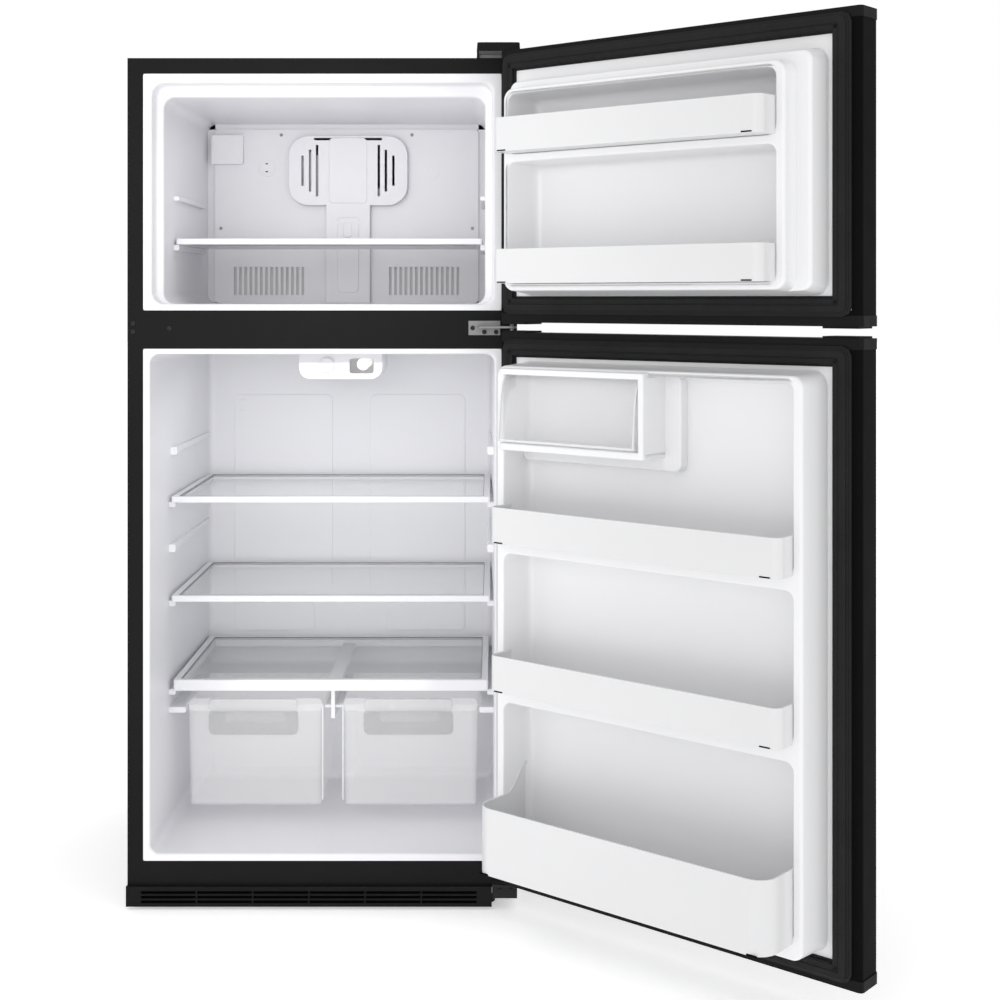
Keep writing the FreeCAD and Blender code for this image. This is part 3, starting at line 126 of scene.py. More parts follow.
def outlines(table: Array, steps: int) -> tuple[Array, Array]:
    """Across and up values of rounded rectangles.

    Corner k's quarter circle is centre + radius * (cos a, sin a), with a from 90 k - 90 to 90 k degrees.

    Args:
        table: one rectangle a row.
        steps: straight pieces in each quarter circle.
    Returns:
        Two arrays, one rectangle a row, counter-clockwise from the lower right corner.
    """
    left, right, low, high, radius = (table[:, i, None] for i in range(5))
    r = np.clip(radius, 0.2, np.minimum(right - left, high - low) / 2.001)
    quarter = np.radians(np.linspace(-90, 0, steps + 1))
    turn = (quarter[None, :] + np.radians([[0], [90], [180], [270]])).ravel()
    is_right = np.repeat([True, True, False, False], steps + 1)
    is_high = np.repeat([False, True, True, False], steps + 1)
    across = np.where(is_right, right - r, left + r) + r * np.cos(turn)
    up = np.where(is_high, high - r, low + r) + r * np.sin(turn)
    return across, up


def stack(table: Array, facing: Facing, steps: int = 8, first: bool = True, last: bool = True) -> Surface:
    """A skin through a run of rounded rectangles: place round the outline by place in the run.

    Args:
        table: one rectangle a row.
        facing: the world axes they lie in.
        steps: straight pieces in each rounded corner.
        first: close the first rectangle with a flat face.
        last: close the last one.
    Returns:
        The surface.
    """
    across, up = outlines(table, steps)
    level = np.broadcast_to(table[:, 5, None], across.shape)
    rows, cols = across.shape
    faces = grid_faces(rows, cols)
    if first:
        faces.append(list(range(cols))[::-1])
    if last:
        faces.append(list(range((rows - 1) * cols, rows * cols)))
    return Surface(facing.points(across, up, level), faces)


def inset(row: Sequence[float], by: float, level: float) -> tuple[float, ...]:
    """A rectangle drawn in by a distance, at another level."""
    left, right, low, high, radius, _ = row
    return (left + by, right - by, low + by, high - by, max(radius - by, 0.5), level)


def block(row: Sequence[float], top: float, edge: float, facing: Facing, steps: int = 5, lean: float = 0.0
          ) -> Surface:
    """A box with rounded corners and edges from the row's level to top, drawn in by lean on the way."""
    middle = (row[5] + top) / 2
    run = [inset(row, edge * 2, row[5]), inset(row, 0, row[5]), inset(row, lean / 2, middle),
           inset(row, lean, top), inset(row, lean + edge * 2, top)]
    return stack(profile(run, [0, edge, 0, edge, 0], 4), facing, steps)


def tray(row: Sequence[float], top: float, wall: float, fillet: float, lean: float = 0.0) -> Surface:
    """An open box: outside up, over a round rim, inside down to a filleted floor, smaller by lean below."""
    low = row[5]
    foot = inset(row, lean, low)
    run = [inset(foot, fillet * 2, low), foot, inset(row, 0, top), inset(row, wall, top),
           inset(foot, wall, low + wall), inset(foot, wall + fillet * 2, low + wall)]
    return stack(profile(run, [0, fillet, wall * 0.45, wall * 0.45, fillet, 0]), Facing.PLAN)


def carry(path: Array, section: Array, closed: bool, facing: Facing = Facing.PLAN, lift: Array | None = None
          ) -> Surface:
    """A closed section carried along a flat path, its corners mitred.

    A section point lies at path + n * side / cos(half the turn), n being square to the path.

    Args:
        path: points in the path's plane, one a row.
        section: rows of side offset, to the left of travel, and level.
        closed: True joins the path's last point to its first.
        facing: the world axes of the path's plane and the level.
        lift: how far the section's upper half is raised at each path point.
    Returns:
        The swept surface, capped at both ends when open.
    """
    if closed:
        before, after = np.roll(path, 1, axis=0), np.roll(path, -1, axis=0)
    else:
        before = np.vstack([2 * path[:1] - path[1:2], path[:-1]])
        after = np.vstack([path[1:], 2 * path[-1:] - path[-2:-1]])
    arrive = (path - before) / np.linalg.norm(path - before, axis=1, keepdims=True)
    leave = (after - path) / np.linalg.norm(after - path, axis=1, keepdims=True)
    mean = (arrive + leave) / np.linalg.norm(arrive + leave, axis=1, keepdims=True)
    stretch = (1 / np.clip((mean * leave).sum(axis=1), 0.3, 1))[:, None]
    across = path[:, :1] - mean[:, 1:] * section[None, :, 0] * stretch
    up = path[:, 1:] + mean[:, :1] * section[None, :, 0] * stretch
    level = np.broadcast_to(section[None, :, 1], across.shape).copy()
    if lift is not None:
        level += np.asarray(lift)[:, None] * (section[:, 1] > section[:, 1].mean())[None, :]
    rows, cols = across.shape
    faces = grid_faces(rows, cols, closed)
    if not closed:
        faces += [list(range(cols))[::-1], list(range((rows - 1) * cols, rows * cols))]
    return Surface(facing.points(across, up, level), faces)


def pill(width: float, low: float, high: float, edge: float) -> Array:
    """A section: a rectangle centred on the path with rounded corners."""
    across, up = outlines(np.array([[-width / 2, width / 2, low, high, edge, 0.0]]), 3)
    return np.stack([across[0], up[0]], axis=1)


def u_path(start: float, end: float, tail: float, reach: float, radius: float, run: int = 2,
           steps: int = 8) -> Array:
    """Out from the door, across and back: two legs of run points and quarter circles between them."""
    turn = np.radians(np.linspace(0, 90, steps + 1))
    first = np.stack([start + radius * (1 - np.cos(turn)), reach - radius * (1 - np.sin(turn))], axis=1)
    leg = np.linspace(tail, reach - radius, run, endpoint=False)
    out = np.stack([np.full(run, start), leg], axis=1)
    mirror = np.array([[start + end, 0]]) + np.vstack([out, first])[::-1] * [[-1, 1]]
    return np.vstack([out, first, mirror])


def ring_path(left: float, right: float, low: float, high: float, radius: float, steps: int = 4) -> Array:
    """A closed rounded rectangle as path points."""
    across, up = outlines(np.array([[left, right, low, high, radius, 0.0]]), steps)
    return np.stack([across[0], up[0]], axis=1)


def plate_with_holes(outer: Array, holes: Sequence[Array], facing: Facing) -> Surface:
    """A flat face between one rectangle's outline and its holes', all rows at the outer's level."""
    rings = [outlines(row[None, :], 8) for row in (outer, *holes)]
    loops = [np.stack([across[0], up[0]], axis=1) for across, up in rings]
    corners = tessellate_polygon([[Vector((x, y, 0)) for x, y in loop] for loop in loops])
    both = np.vstack(loops)
    return Surface(facing.points(both[:, 0], both[:, 1], np.full(len(both), outer[5])),
                   [list(t) for t in corners])


# ------------------------------------------------------------------ finishes
class Nodes:
    """A short way to write a node tree."""

    def __init__(self, name: str) -> None:
        """Start a material with an empty tree."""
        self.material = bpy.data.materials.new(name)
        self.material.use_nodes = True
        self.tree = self.material.node_tree
        self.shader = self.tree.nodes["Principled BSDF"]
        self.coords = self.add("ShaderNodeTexCoord").outputs["Object"]

    def add(self, kind: str, **settings: object) -> bpy.types.Node:
        """A node with its properties set, or its inputs where the name is a socket."""
        node = self.tree.nodes.new(kind)
        for key, value in settings.items():
            if key in node.inputs:
                node.inputs[key].default_value = value
            else:
                setattr(node, key, value)
        return node

    def link(self, source: bpy.types.NodeSocket, node: bpy.types.Node, socket: str | int) -> None:
        """Join an output to a named input."""
        self.tree.links.new(source, node.inputs[socket])

    def noise(self, scale: float, detail: float) -> bpy.types.NodeSocket:
        """Noise over object coordinates."""
        texture = self.add("ShaderNodeTexNoise", Scale=scale, Detail=detail)
        self.link(self.coords, texture, "Vector")
        return texture.outputs["Fac"]

    def between(self, factor: bpy.types.NodeSocket, low: float, high: float, start: float = 0.3,
                stop: float = 0.7) -> bpy.types.NodeSocket:
        """Noise remapped to a range of values."""
        node = self.add("ShaderNodeMapRange")
        for key, value in (("From Min", start), ("From Max", stop), ("To Min", low), ("To Max", high)):
            node.inputs[key].default_value = value
        self.link(factor, node, "Value")
        return node.outputs["Result"]

    def ramp(self, factor: bpy.types.NodeSocket, dark: Sequence[float], light: Sequence[float]
             ) -> bpy.types.NodeSocket:
        """Two colours mixed by a factor."""
        node = self.add("ShaderNodeValToRGB")
        node.color_ramp.elements[0].color = (*dark, 1)
        node.color_ramp.elements[1].color = (*light, 1)
        node.color_ramp.elements[0].position = 0.25
        node.color_ramp.elements[1].position = 0.75
        self.link(factor, node, "Fac")
        return node.outputs["Color"]

    def bump(self, height: bpy.types.NodeSocket, strength: float, distance: float,
             below: bpy.types.NodeSocket | None = None) -> bpy.types.NodeSocket:
        """A bump from a height, added to another one below it."""
        node = self.add("ShaderNodeBump", Strength=strength, Distance=distance)
        self.link(height, node, "Height")
        if below is not None:
            self.link(below, node, "Normal")
        return node.outputs["Normal"]


GRAIN_STRENGTH, WAVE_STRENGTH, COAT_ROUGHNESS = 0.5, 0.6, 0.12
SMEARS_PER_WAVE = 7


@dataclass(frozen=True)
class Finish:
    """A surface finish: two near colours, a gloss range, a fine grain and a slow waviness."""

    name: str
    slot: str
    dark: tuple[float, float, float]
    light: tuple[float, float, float]
    gloss: tuple[float, float]
    grain_scale: float = 900
    grain_depth: float = 0.00004
    wave_scale: float = 5
    wave_depth: float = 0.0
    metallic: float = 0.0
    coat: float = 0.0
    alpha: float = 1.0
    glow: float = 0.0
    specular: float = 0.5

    def material(self) -> bpy.types.Material:
        """The material, made once and kept by name."""
        made = bpy.data.materials.get(self.name)
        if made:
            return made
        tree = Nodes(self.name)
        shader = tree.shader
        mottle = tree.noise(self.wave_scale, 3)
        grain = tree.noise(self.grain_scale, 2)
        smear = tree.noise(self.wave_scale * SMEARS_PER_WAVE, 4)
        tree.link(tree.ramp(mottle, self.dark, self.light), shader, "Base Color")
        tree.link(tree.between(smear, *self.gloss), shader, "Roughness")
        normal = tree.bump(grain, GRAIN_STRENGTH, self.grain_depth)
        if self.wave_depth:
            normal = tree.bump(mottle, WAVE_STRENGTH, self.wave_depth, normal)
        tree.link(normal, shader, "Normal")
        shader.inputs["Metallic"].default_value = self.metallic
        shader.inputs["Coat Weight"].default_value = self.coat
        shader.inputs["Coat Roughness"].default_value = COAT_ROUGHNESS
        shader.inputs["Specular IOR Level"].default_value = self.specular
        shader.inputs["Alpha"].default_value = self.alpha
        if self.glow:
            shader.inputs["Emission Color"].default_value = (*self.light, 1)
            shader.inputs["Emission Strength"].default_value = self.glow
        return tree.material


def grey(value: float, blue: float = 0.0) -> tuple[float, float, float]:
    """A grey with a slight blue cast."""
    return (value, value, value * (1 + blue))


PAINT = Finish("baked_black_paint", "cabinet_paint", grey(0.011), grey(0.013), (0.36, 0.46), 700, 0.00004,
               3, specular=0.05)
# The doors carry the cabinet's own black paint (same slot); this darker copy is painted shade for the door
# edges that the front lights leave dark.
SHADED_DOOR_PAINT = Finish("door_paint_painted_shade", "cabinet_paint", grey(0.004), grey(0.005), (0.42, 0.5), 700, 0.00004,
                    3, specular=0.02)
BLACK_MOULD = Finish("black_grained_moulding", "black_plastic", grey(0.009), grey(0.013), (0.42, 0.55),
                     1400, 0.00005, specular=0.06)
GASKET = Finish("black_gasket_rubber", "gasket_black", grey(0.012), grey(0.016), (0.5, 0.65), 1000, 0.00004,
                12, specular=0.14)
LINER = Finish("white_liner_sheet", "liner_white", grey(0.85, 0.012), grey(0.858, 0.012), (0.29, 0.33), 420,
               0.00002, 1.6, 0.00002, coat=0.1)
CAVITY = Finish("pale_grey_liner_sheet", "liner_grey", (0.876, 0.874, 0.9), (0.88, 0.878, 0.904),
                (0.38, 0.4), 420, 0.00002, 1.6, 0.00001, coat=0.04)
TRIM = Finish("white_moulding", "trim_white", (0.85, 0.848, 0.872), (0.858, 0.856, 0.88), (0.3, 0.36), 900,
              0.00003, 6)
BIN = Finish("white_rack_moulding", "bin_white", grey(0.735, 0.01), grey(0.745, 0.01), (0.28, 0.34), 900,
             0.00003, 6, coat=0.1)
# Clear crisper plastic; its glow is painted light, emission standing in for light scattered inside the
# plastic.
CLEAR = Finish("clear_crisper_moulding", "clear_plastic", grey(0.86, 0.02), grey(0.92, 0.02), (0.08, 0.16),
               300, 0.00002, 5, alpha=0.22, glow=0.22)
PULL = Finish("frosted_drawer_pull", "clear_plastic", grey(0.84, 0.02), grey(0.9, 0.02), (0.2, 0.3), 300,
              0.00003, 5, alpha=0.3)
# Near-opaque bright strips laid along clear edges: painted highlight for the glints on the plastic's edges.
HIGHLIGHT_EDGE = Finish("bright_moulding_edge", "clear_plastic", grey(0.92, 0.01), grey(0.95, 0.01), (0.15, 0.25),
              300, 0.00002, 5, alpha=0.7)
# The scoop is the same frosted plastic as the pull; this darker copy is painted shade in its hollow.
SCOOP_SHADE = Finish("drawer_scoop_painted_shade", "clear_plastic", grey(0.62, 0.02), grey(0.68, 0.02), (0.2, 0.3), 300,
              0.00003, 5, alpha=0.3)
LID = Finish("clear_lid_moulding", "clear_plastic", grey(0.88, 0.01), grey(0.93, 0.01), (0.07, 0.14), 300,
             0.00002, 5, alpha=0.17)
GLASS = Finish("clear_shelf_glass", "shelf_glass", (0.80, 0.86, 0.85), (0.86, 0.91, 0.9), (0.03, 0.07), 60,
               0.00001, 4, alpha=0.12)
# Black sheets put into slots and behind openings: painted shade.
SHADOW = Finish("unlit_black", "black_plastic", grey(0.002), grey(0.003), (0.8, 0.9), 600, 0.00003,
                specular=0.02)
# Grey for the thin rings round the shelf glass: painted shade of the groove where the glass sits in its
# frame.
GROOVE_SHADE_GREY = Finish("grey_shelf_groove_shade", "clear_plastic", grey(0.24), grey(0.28), (0.3, 0.4), 500, 0.00003)
HINGE = Finish("grey_coated_hinge_steel", "hinge_grey", grey(0.2), grey(0.26), (0.4, 0.5), 800, 0.00006, 20,
               metallic=0.4)
DARK_HINGE = Finish("black_coated_steel", "condenser_black", grey(0.012), grey(0.018), (0.35, 0.5), 700,
                    0.00005, specular=0.2)
ZINC = Finish("galvanised_sheet", "galvanised", grey(0.42), grey(0.56), (0.35, 0.5), 60, 0.00004, 30,
              metallic=0.85)
FOAM = Finish("rigid_foam", "foam_core", (0.72, 0.66, 0.46), (0.82, 0.77, 0.58), (0.8, 0.95), 260, 0.0006,
              20)
COIL = Finish("aluminium_fin_stock", "coil_metal", grey(0.6), grey(0.7), (0.3, 0.45), 400, 0.00005,
              metallic=0.95)
ENAMEL = Finish("black_enamel_casting", "compressor_black", grey(0.018), grey(0.028), (0.3, 0.45), 260,
                0.0001, coat=0.3)
MOTOR = Finish("grey_motor_can", "motor_grey", grey(0.22), grey(0.3), (0.4, 0.55), 500, 0.00008,
               metallic=0.6)
BLADE = Finish("moulded_fan_plastic", "fan_white", grey(0.66), grey(0.74), (0.4, 0.5), 700, 0.00005)
LAMP = Finish("frosted_lamp_glass", "lamp_glass", (0.93, 0.9, 0.84), (0.97, 0.95, 0.9), (0.3, 0.45), 300,
              0.00004, glow=0.6)
ROLLER = Finish("black_roller_moulding", "roller_plastic", grey(0.05), grey(0.07), (0.5, 0.65), 500,
                0.00008)

CAD_FINISHES: dict[str, Finish] = {
    "side_panel_left": PAINT, "side_panel_right": PAINT, "top_panel": PAINT, "mullion_bar": PAINT,
    "lower_front_rail": PAINT, "freezer_door_skin": SHADED_DOOR_PAINT, "fridge_door_skin": SHADED_DOOR_PAINT,
    "cabinet_back_panel": ZINC, "base_deck": ZINC, "rear_access_cover": ZINC,
    "cabinet_foam": FOAM, "freezer_door_foam": FOAM, "fridge_door_foam": FOAM,
    "freezer_liner": CAVITY, "fridge_liner": CAVITY, "freezer_door_liner": LINER,
    "fridge_door_liner": LINER, "evaporator_cover": TRIM, "fan_shroud": TRIM, "control_housing": TRIM,
    "freezer_shelf": TRIM, "upper_shelf_frame": TRIM, "lower_shelf_frame": TRIM,
    "crisper_cover_frame": TRIM, "temperature_knob": TRIM, "freezer_rack_upper": BIN,
    "freezer_rack_lower": BIN, "fridge_rack_upper": BIN, "fridge_rack_lower": BIN, "gallon_bin": BIN,
    "crisper_left": CLEAR, "crisper_right": CLEAR, "dairy_lid": CLEAR, "upper_shelf_glass": GLASS,
    "lower_shelf_glass": GLASS, "crisper_cover_glass": GLASS, "freezer_door_gasket": GASKET,
    "fridge_door_gasket": GASKET, "toe_grille": BLACK_MOULD, "freezer_door_caps": BLACK_MOULD,
    "fridge_door_caps": BLACK_MOULD, "freezer_door_handle": BLACK_MOULD,
    "fridge_door_handle": BLACK_MOULD, "top_hinge_cover": BLACK_MOULD, "leveling_leg_left": BLACK_MOULD,
    "leveling_leg_right": BLACK_MOULD, "drain_pan": BLACK_MOULD, "top_hinge_bracket": HINGE,
    "center_hinge_bracket": HINGE, "bottom_hinge_bracket": DARK_HINGE, "condenser_coil": DARK_HINGE,
    "hinge_screws": DARK_HINGE, "evaporator_coil": COIL, "compressor": ENAMEL,
    "evaporator_fan_motor": MOTOR, "condenser_fan_motor": MOTOR, "evaporator_fan": BLADE,
    "condenser_fan": BLADE, "lamp_bulb": LAMP, "rear_rollers": ROLLER,
}


# ------------------------------------------------------------------ pieces
def in_cabinet(points: Array) -> Array:
    """Cabinet millimetres to world metres."""
    return points * MM


@dataclass(frozen=True)
class HingeLine:
    """A door's hinge line at rest: door points are along the door, inwards, and up."""

    pivot: tuple[float, float]
    angle: float
    gap: float = 14.0

    @classmethod
    def of(cls, joint: str) -> "HingeLine":
        """The hinge line and open angle of a named joint in the frame."""
        found = next(j for j in frame["joints"] if j["name"] == joint)
        x, y, _ = found["pos_m"]
        return cls((x / MM, y / MM), math.radians(-found["range_deg"][0]))

    def place(self, points: Array) -> Array:
        """World metres of door points: drawn closed, then turned about the pivot by the open angle."""
        x = -points[..., 0]
        y = points[..., 1] - self.gap - self.pivot[1]
        c, s = math.cos(self.angle), math.sin(self.angle)
        return np.stack([self.pivot[0] + c * x - s * y, self.pivot[1] + s * x + c * y, points[..., 2]],
                        axis=-1) * MM


def publish(name: str, surface: Surface, body: str, finish: Finish, place: Place = in_cabinet,
            stands_for: Sequence[str] = (), sharp: float = 40) -> bpy.types.Object:
    """Make a mesh object from a surface and attach it to its body.

    Args:
        name: the piece's name.
        surface: points in the piece's own millimetres.
        body: the CAD body it rides on.
        finish: its finish.
        place: turns its points into world metres.
        stands_for: CAD nodes that it replaces.
        sharp: edges that turn by more than this many degrees stay sharp.
    Returns:
        The object.
    """
    mesh = bpy.data.meshes.new(name)
    mesh.from_pydata(place(surface.points).tolist(), [], surface.faces)
    tidy = bmesh.new()
    tidy.from_mesh(mesh)
    bmesh.ops.remove_doubles(tidy, verts=tidy.verts, dist=1e-6)
    bmesh.ops.recalc_face_normals(tidy, faces=tidy.faces)
    tidy.to_mesh(mesh)
    tidy.free()
    return finish_piece(mesh, name, body, finish, stands_for, sharp)


def finish_piece(mesh: bpy.types.Mesh, name: str, body: str, finish: Finish, stands_for: Sequence[str],
                 sharp: float) -> bpy.types.Object:
    """Shade a mesh, give it its finish and its body, and report it."""
    for polygon in mesh.polygons:
        polygon.use_smooth = True
    mesh.set_sharp_from_angle(angle=math.radians(sharp))
    mesh.materials.clear()
    mesh.materials.append(finish.material())
    piece = bpy.data.objects.new(name, mesh)
    bpy.context.scene.collection.objects.link(piece)
    even = piece.modifiers.new("even_normals", "WEIGHTED_NORMAL")
    even.keep_sharp = True
    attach(piece, body)
    if stands_for:
        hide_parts(*stands_for)
    LOG.info("%s: %d faces on %s", name, len(mesh.polygons), body)
    return piece


def soften(node: str, body: str, width: float, segments: int = 2, angle: float = 30) -> bpy.types.Object:
    """Stand in for a CAD node with the same solid, its edges rounded over.

    Args:
        node: the CAD node's name.
        body: the body it belongs to.
        width: radius of the rounding in millimetres.
        segments: facets across each rounded edge.
        angle: only edges that turn by more than this many degrees are rounded.
    Returns:
        The new piece.
    """
    mesh = frame["nodes"][node].data.copy()
    mesh.name = node + "_soft"
    tidy = bmesh.new()
    tidy.from_mesh(mesh)
    bmesh.ops.remove_doubles(tidy, verts=tidy.verts, dist=2e-6)
    bmesh.ops.dissolve_limit(tidy, angle_limit=math.radians(1), verts=tidy.verts, edges=tidy.edges)
    tidy.to_mesh(mesh)
    tidy.free()
    piece = finish_piece(mesh, node + "_soft", body, CAD_FINISHES[node], [node], 30)
    bevel = piece.modifiers.new("rounded", "BEVEL")
    bevel.width = width * MM
    bevel.segments = segments
    bevel.limit_method = "ANGLE"
    bevel.angle_limit = math.radians(angle)
    bevel.harden_normals = False
    bevel.use_clamp_overlap = True
    piece.modifiers.move(len(piece.modifiers) - 1, 0)
    return piece


# ------------------------------------------------------------------ sub-assemblies
@dataclass(frozen=True)
class Seal:
    """The opening of a door gasket and the width of its section, in door millimetres."""

    low: float
    high: float
    hinge: float = 29
    free: float = 702
    wide: float = 28
    tall: float = 10.5
    base: float = 2.0

    def section(self) -> Array:
        """A bellows section: broad foot, two grooves, and a crowned magnet pocket on top."""
        w, b, t = self.wide, self.base, self.tall
        return np.array([(-w * 0.5 - 3, 0.3), (w * 0.5 + 3, 0.3), (w * 0.5 + 3, b + t * 0.16),
                         (w * 0.42, b + t * 0.3), (w * 0.42, b + t * 0.46), (w * 0.47, b + t * 0.56),
                         (w * 0.47, b + t * 0.86), (w * 0.4, b + t), (w * 0.16, b + t),
                         (w * 0.13, b + t * 0.9), (w * 0.08, b + t * 0.9), (w * 0.05, b + t),
                         (-w * 0.3, b + t), (-w * 0.36, b + t * 0.9), (-w * 0.36, b + t * 0.6),
                         (-w * 0.47, b + t * 0.5), (-w * 0.46, b + t * 0.3), (-w * 0.5 - 3, b + t * 0.16)])

    def surface(self) -> Surface:
        """The section carried round the opening, corners mitred."""
        half = self.wide / 2
        path = ring_path(self.hinge - half, self.free + half, self.low - half, self.high + half, 3, 2)
        return carry(path, self.section(), True, Facing.FRONT)


@dataclass
class DoorInside:
    """The liner, gasket and racks of one door, in door millimetres: along, inwards and up."""

    tag: str
    hinge: HingeLine
    seal: Seal
    tiers: Sequence[tuple[float, float, float, float, float, float]]
    pockets: Sequence[tuple[float, float, float, float]]
    pocket_floor: float = 5
    corner: float = 24

    def body(self) -> str:
        """The body that everything on this door rides on."""
        return self.tag + "_door"

    def form(self) -> Surface:
        """Brim and tiers out to the plateau, pocket walls back down to their floors.

        Each tier rises from the one below with its own lean; every change of slope is rounded.
        """
        seal = self.seal
        brim = (seal.hinge - seal.wide + 4, seal.free + seal.wide - 4, seal.low - seal.wide + 4,
                seal.high + seal.wide - 4, 4)
        run = [(*brim, 0.0), (*brim, seal.base)]
        rounds = [0.0, 0.6]
        level = seal.base
        for left, right, low, high, tall, lean in self.tiers:
            run.append((left, right, low, high, self.corner, level))
            inner = inset((left, right, low, high, self.corner, 0.0), lean, tall)
            run.append(inner)
            rounds += [3.0, 7.0]
            level = tall
        plateau = inset(run[-1], 10, level)
        outer = profile([*run, plateau], [*rounds, 0.0])
        shell = stack(outer, Facing.FRONT, first=True, last=False)
        holes = []
        for left, right, low, high in self.pockets:
            mouth = (left - 5, right + 5, low - 5, high + 5, 20.0, level)
            deep = inset((left, right, low, high, 18.0, 0.0), 4, self.pocket_floor)
            well = profile([mouth, (left, right, low, high, 16.0, level), deep,
                            inset(deep, 30, self.pocket_floor)],
                           [0.0, 5.0, 16.0, 0.0], 6)
            holes.append(well[0])
            shell += stack(well, Facing.FRONT, first=False)
        return shell + plate_with_holes(outer[-1], holes, Facing.FRONT)

    def build(self) -> None:
        """Liner and gasket."""
        publish(f"{self.tag}_door_liner_form", self.form(), self.body(), LINER, self.hinge.place,
                [f"{self.tag}_door_liner"], sharp=50)
        publish(f"{self.tag}_door_gasket_seal", self.seal.surface(), self.body(), GASKET, self.hinge.place,
                [f"{self.tag}_door_gasket"], sharp=28)


@dataclass
class DoorRack:
    """A moulded rack: a U-shaped wall with a thickened rim, a floor and two locking slots below, drawn as
    black sheets of painted shade.
    """

    name: str
    door: DoorInside
    low: float
    tall: float
    reach: float
    radius: float
    start: float
    end: float
    tail: float = 62
    wall: float = 3.0
    ear: float = 0.0

    def wall_surface(self) -> Surface:
        """The wall's section carried round the U, its upper half lifted along the hinge leg for an ear."""
        w = self.wall / 2
        path = u_path(self.start + w + 0.4, self.end - w - 0.4, self.tail, self.reach - w - 0.3,
                      self.radius, 16, 10)
        top = self.low + self.tall
        section = np.array([(-w * 0.75, self.low + 0.8), (w * 0.75, self.low + 0.8), (w, self.low + 3),
                            (w, top - 8), (w * 1.5, top - 5.5), (w * 1.5, top - 1.2), (w * 1.1, top - 0.3),
                            (0, top), (-w * 0.8, top - 0.4), (-w, top - 1.4), (-w, self.low + 3)])
        section[:, 0] *= -1
        lift = None
        if self.ear:
            along = np.clip((path[:, 1] - self.tail - 8) / 58, 0, 1)
            lift = np.where(path[:, 0] < self.start + 4, self.ear * (1 - along) ** 2 * (1 + 2 * along), 0)
        return carry(path, section[::-1], False, lift=lift)

    def build(self, node: str) -> None:
        """The rack, and its slots as black sheets of painted shade."""
        inside = (self.start + 1.2, self.end - 1.2, self.tail + 0.6, self.reach - 1.0, self.radius - 1,
                  self.low + 0.4)
        floor = block(inside, self.low + 3.4, 1.0, Facing.PLAN)
        publish(self.name, self.wall_surface() + floor, self.door.body(), BIN, self.door.hinge.place,
                [node], sharp=35)
        # Black sheets in the two locking slots: painted shade.
        slots = [block((s - 10, s + 10, self.low + 1.2, self.low + 3.6, 1.0, self.reach - 1.2),
                       self.reach + 0.2, 0.1, Facing.FRONT) for s in (self.start + 24, self.end - 26)]
        publish(self.name.replace("moulding", "slots"), slots[0] + slots[1], self.door.body(), SHADOW,
                self.door.hinge.place, sharp=35)


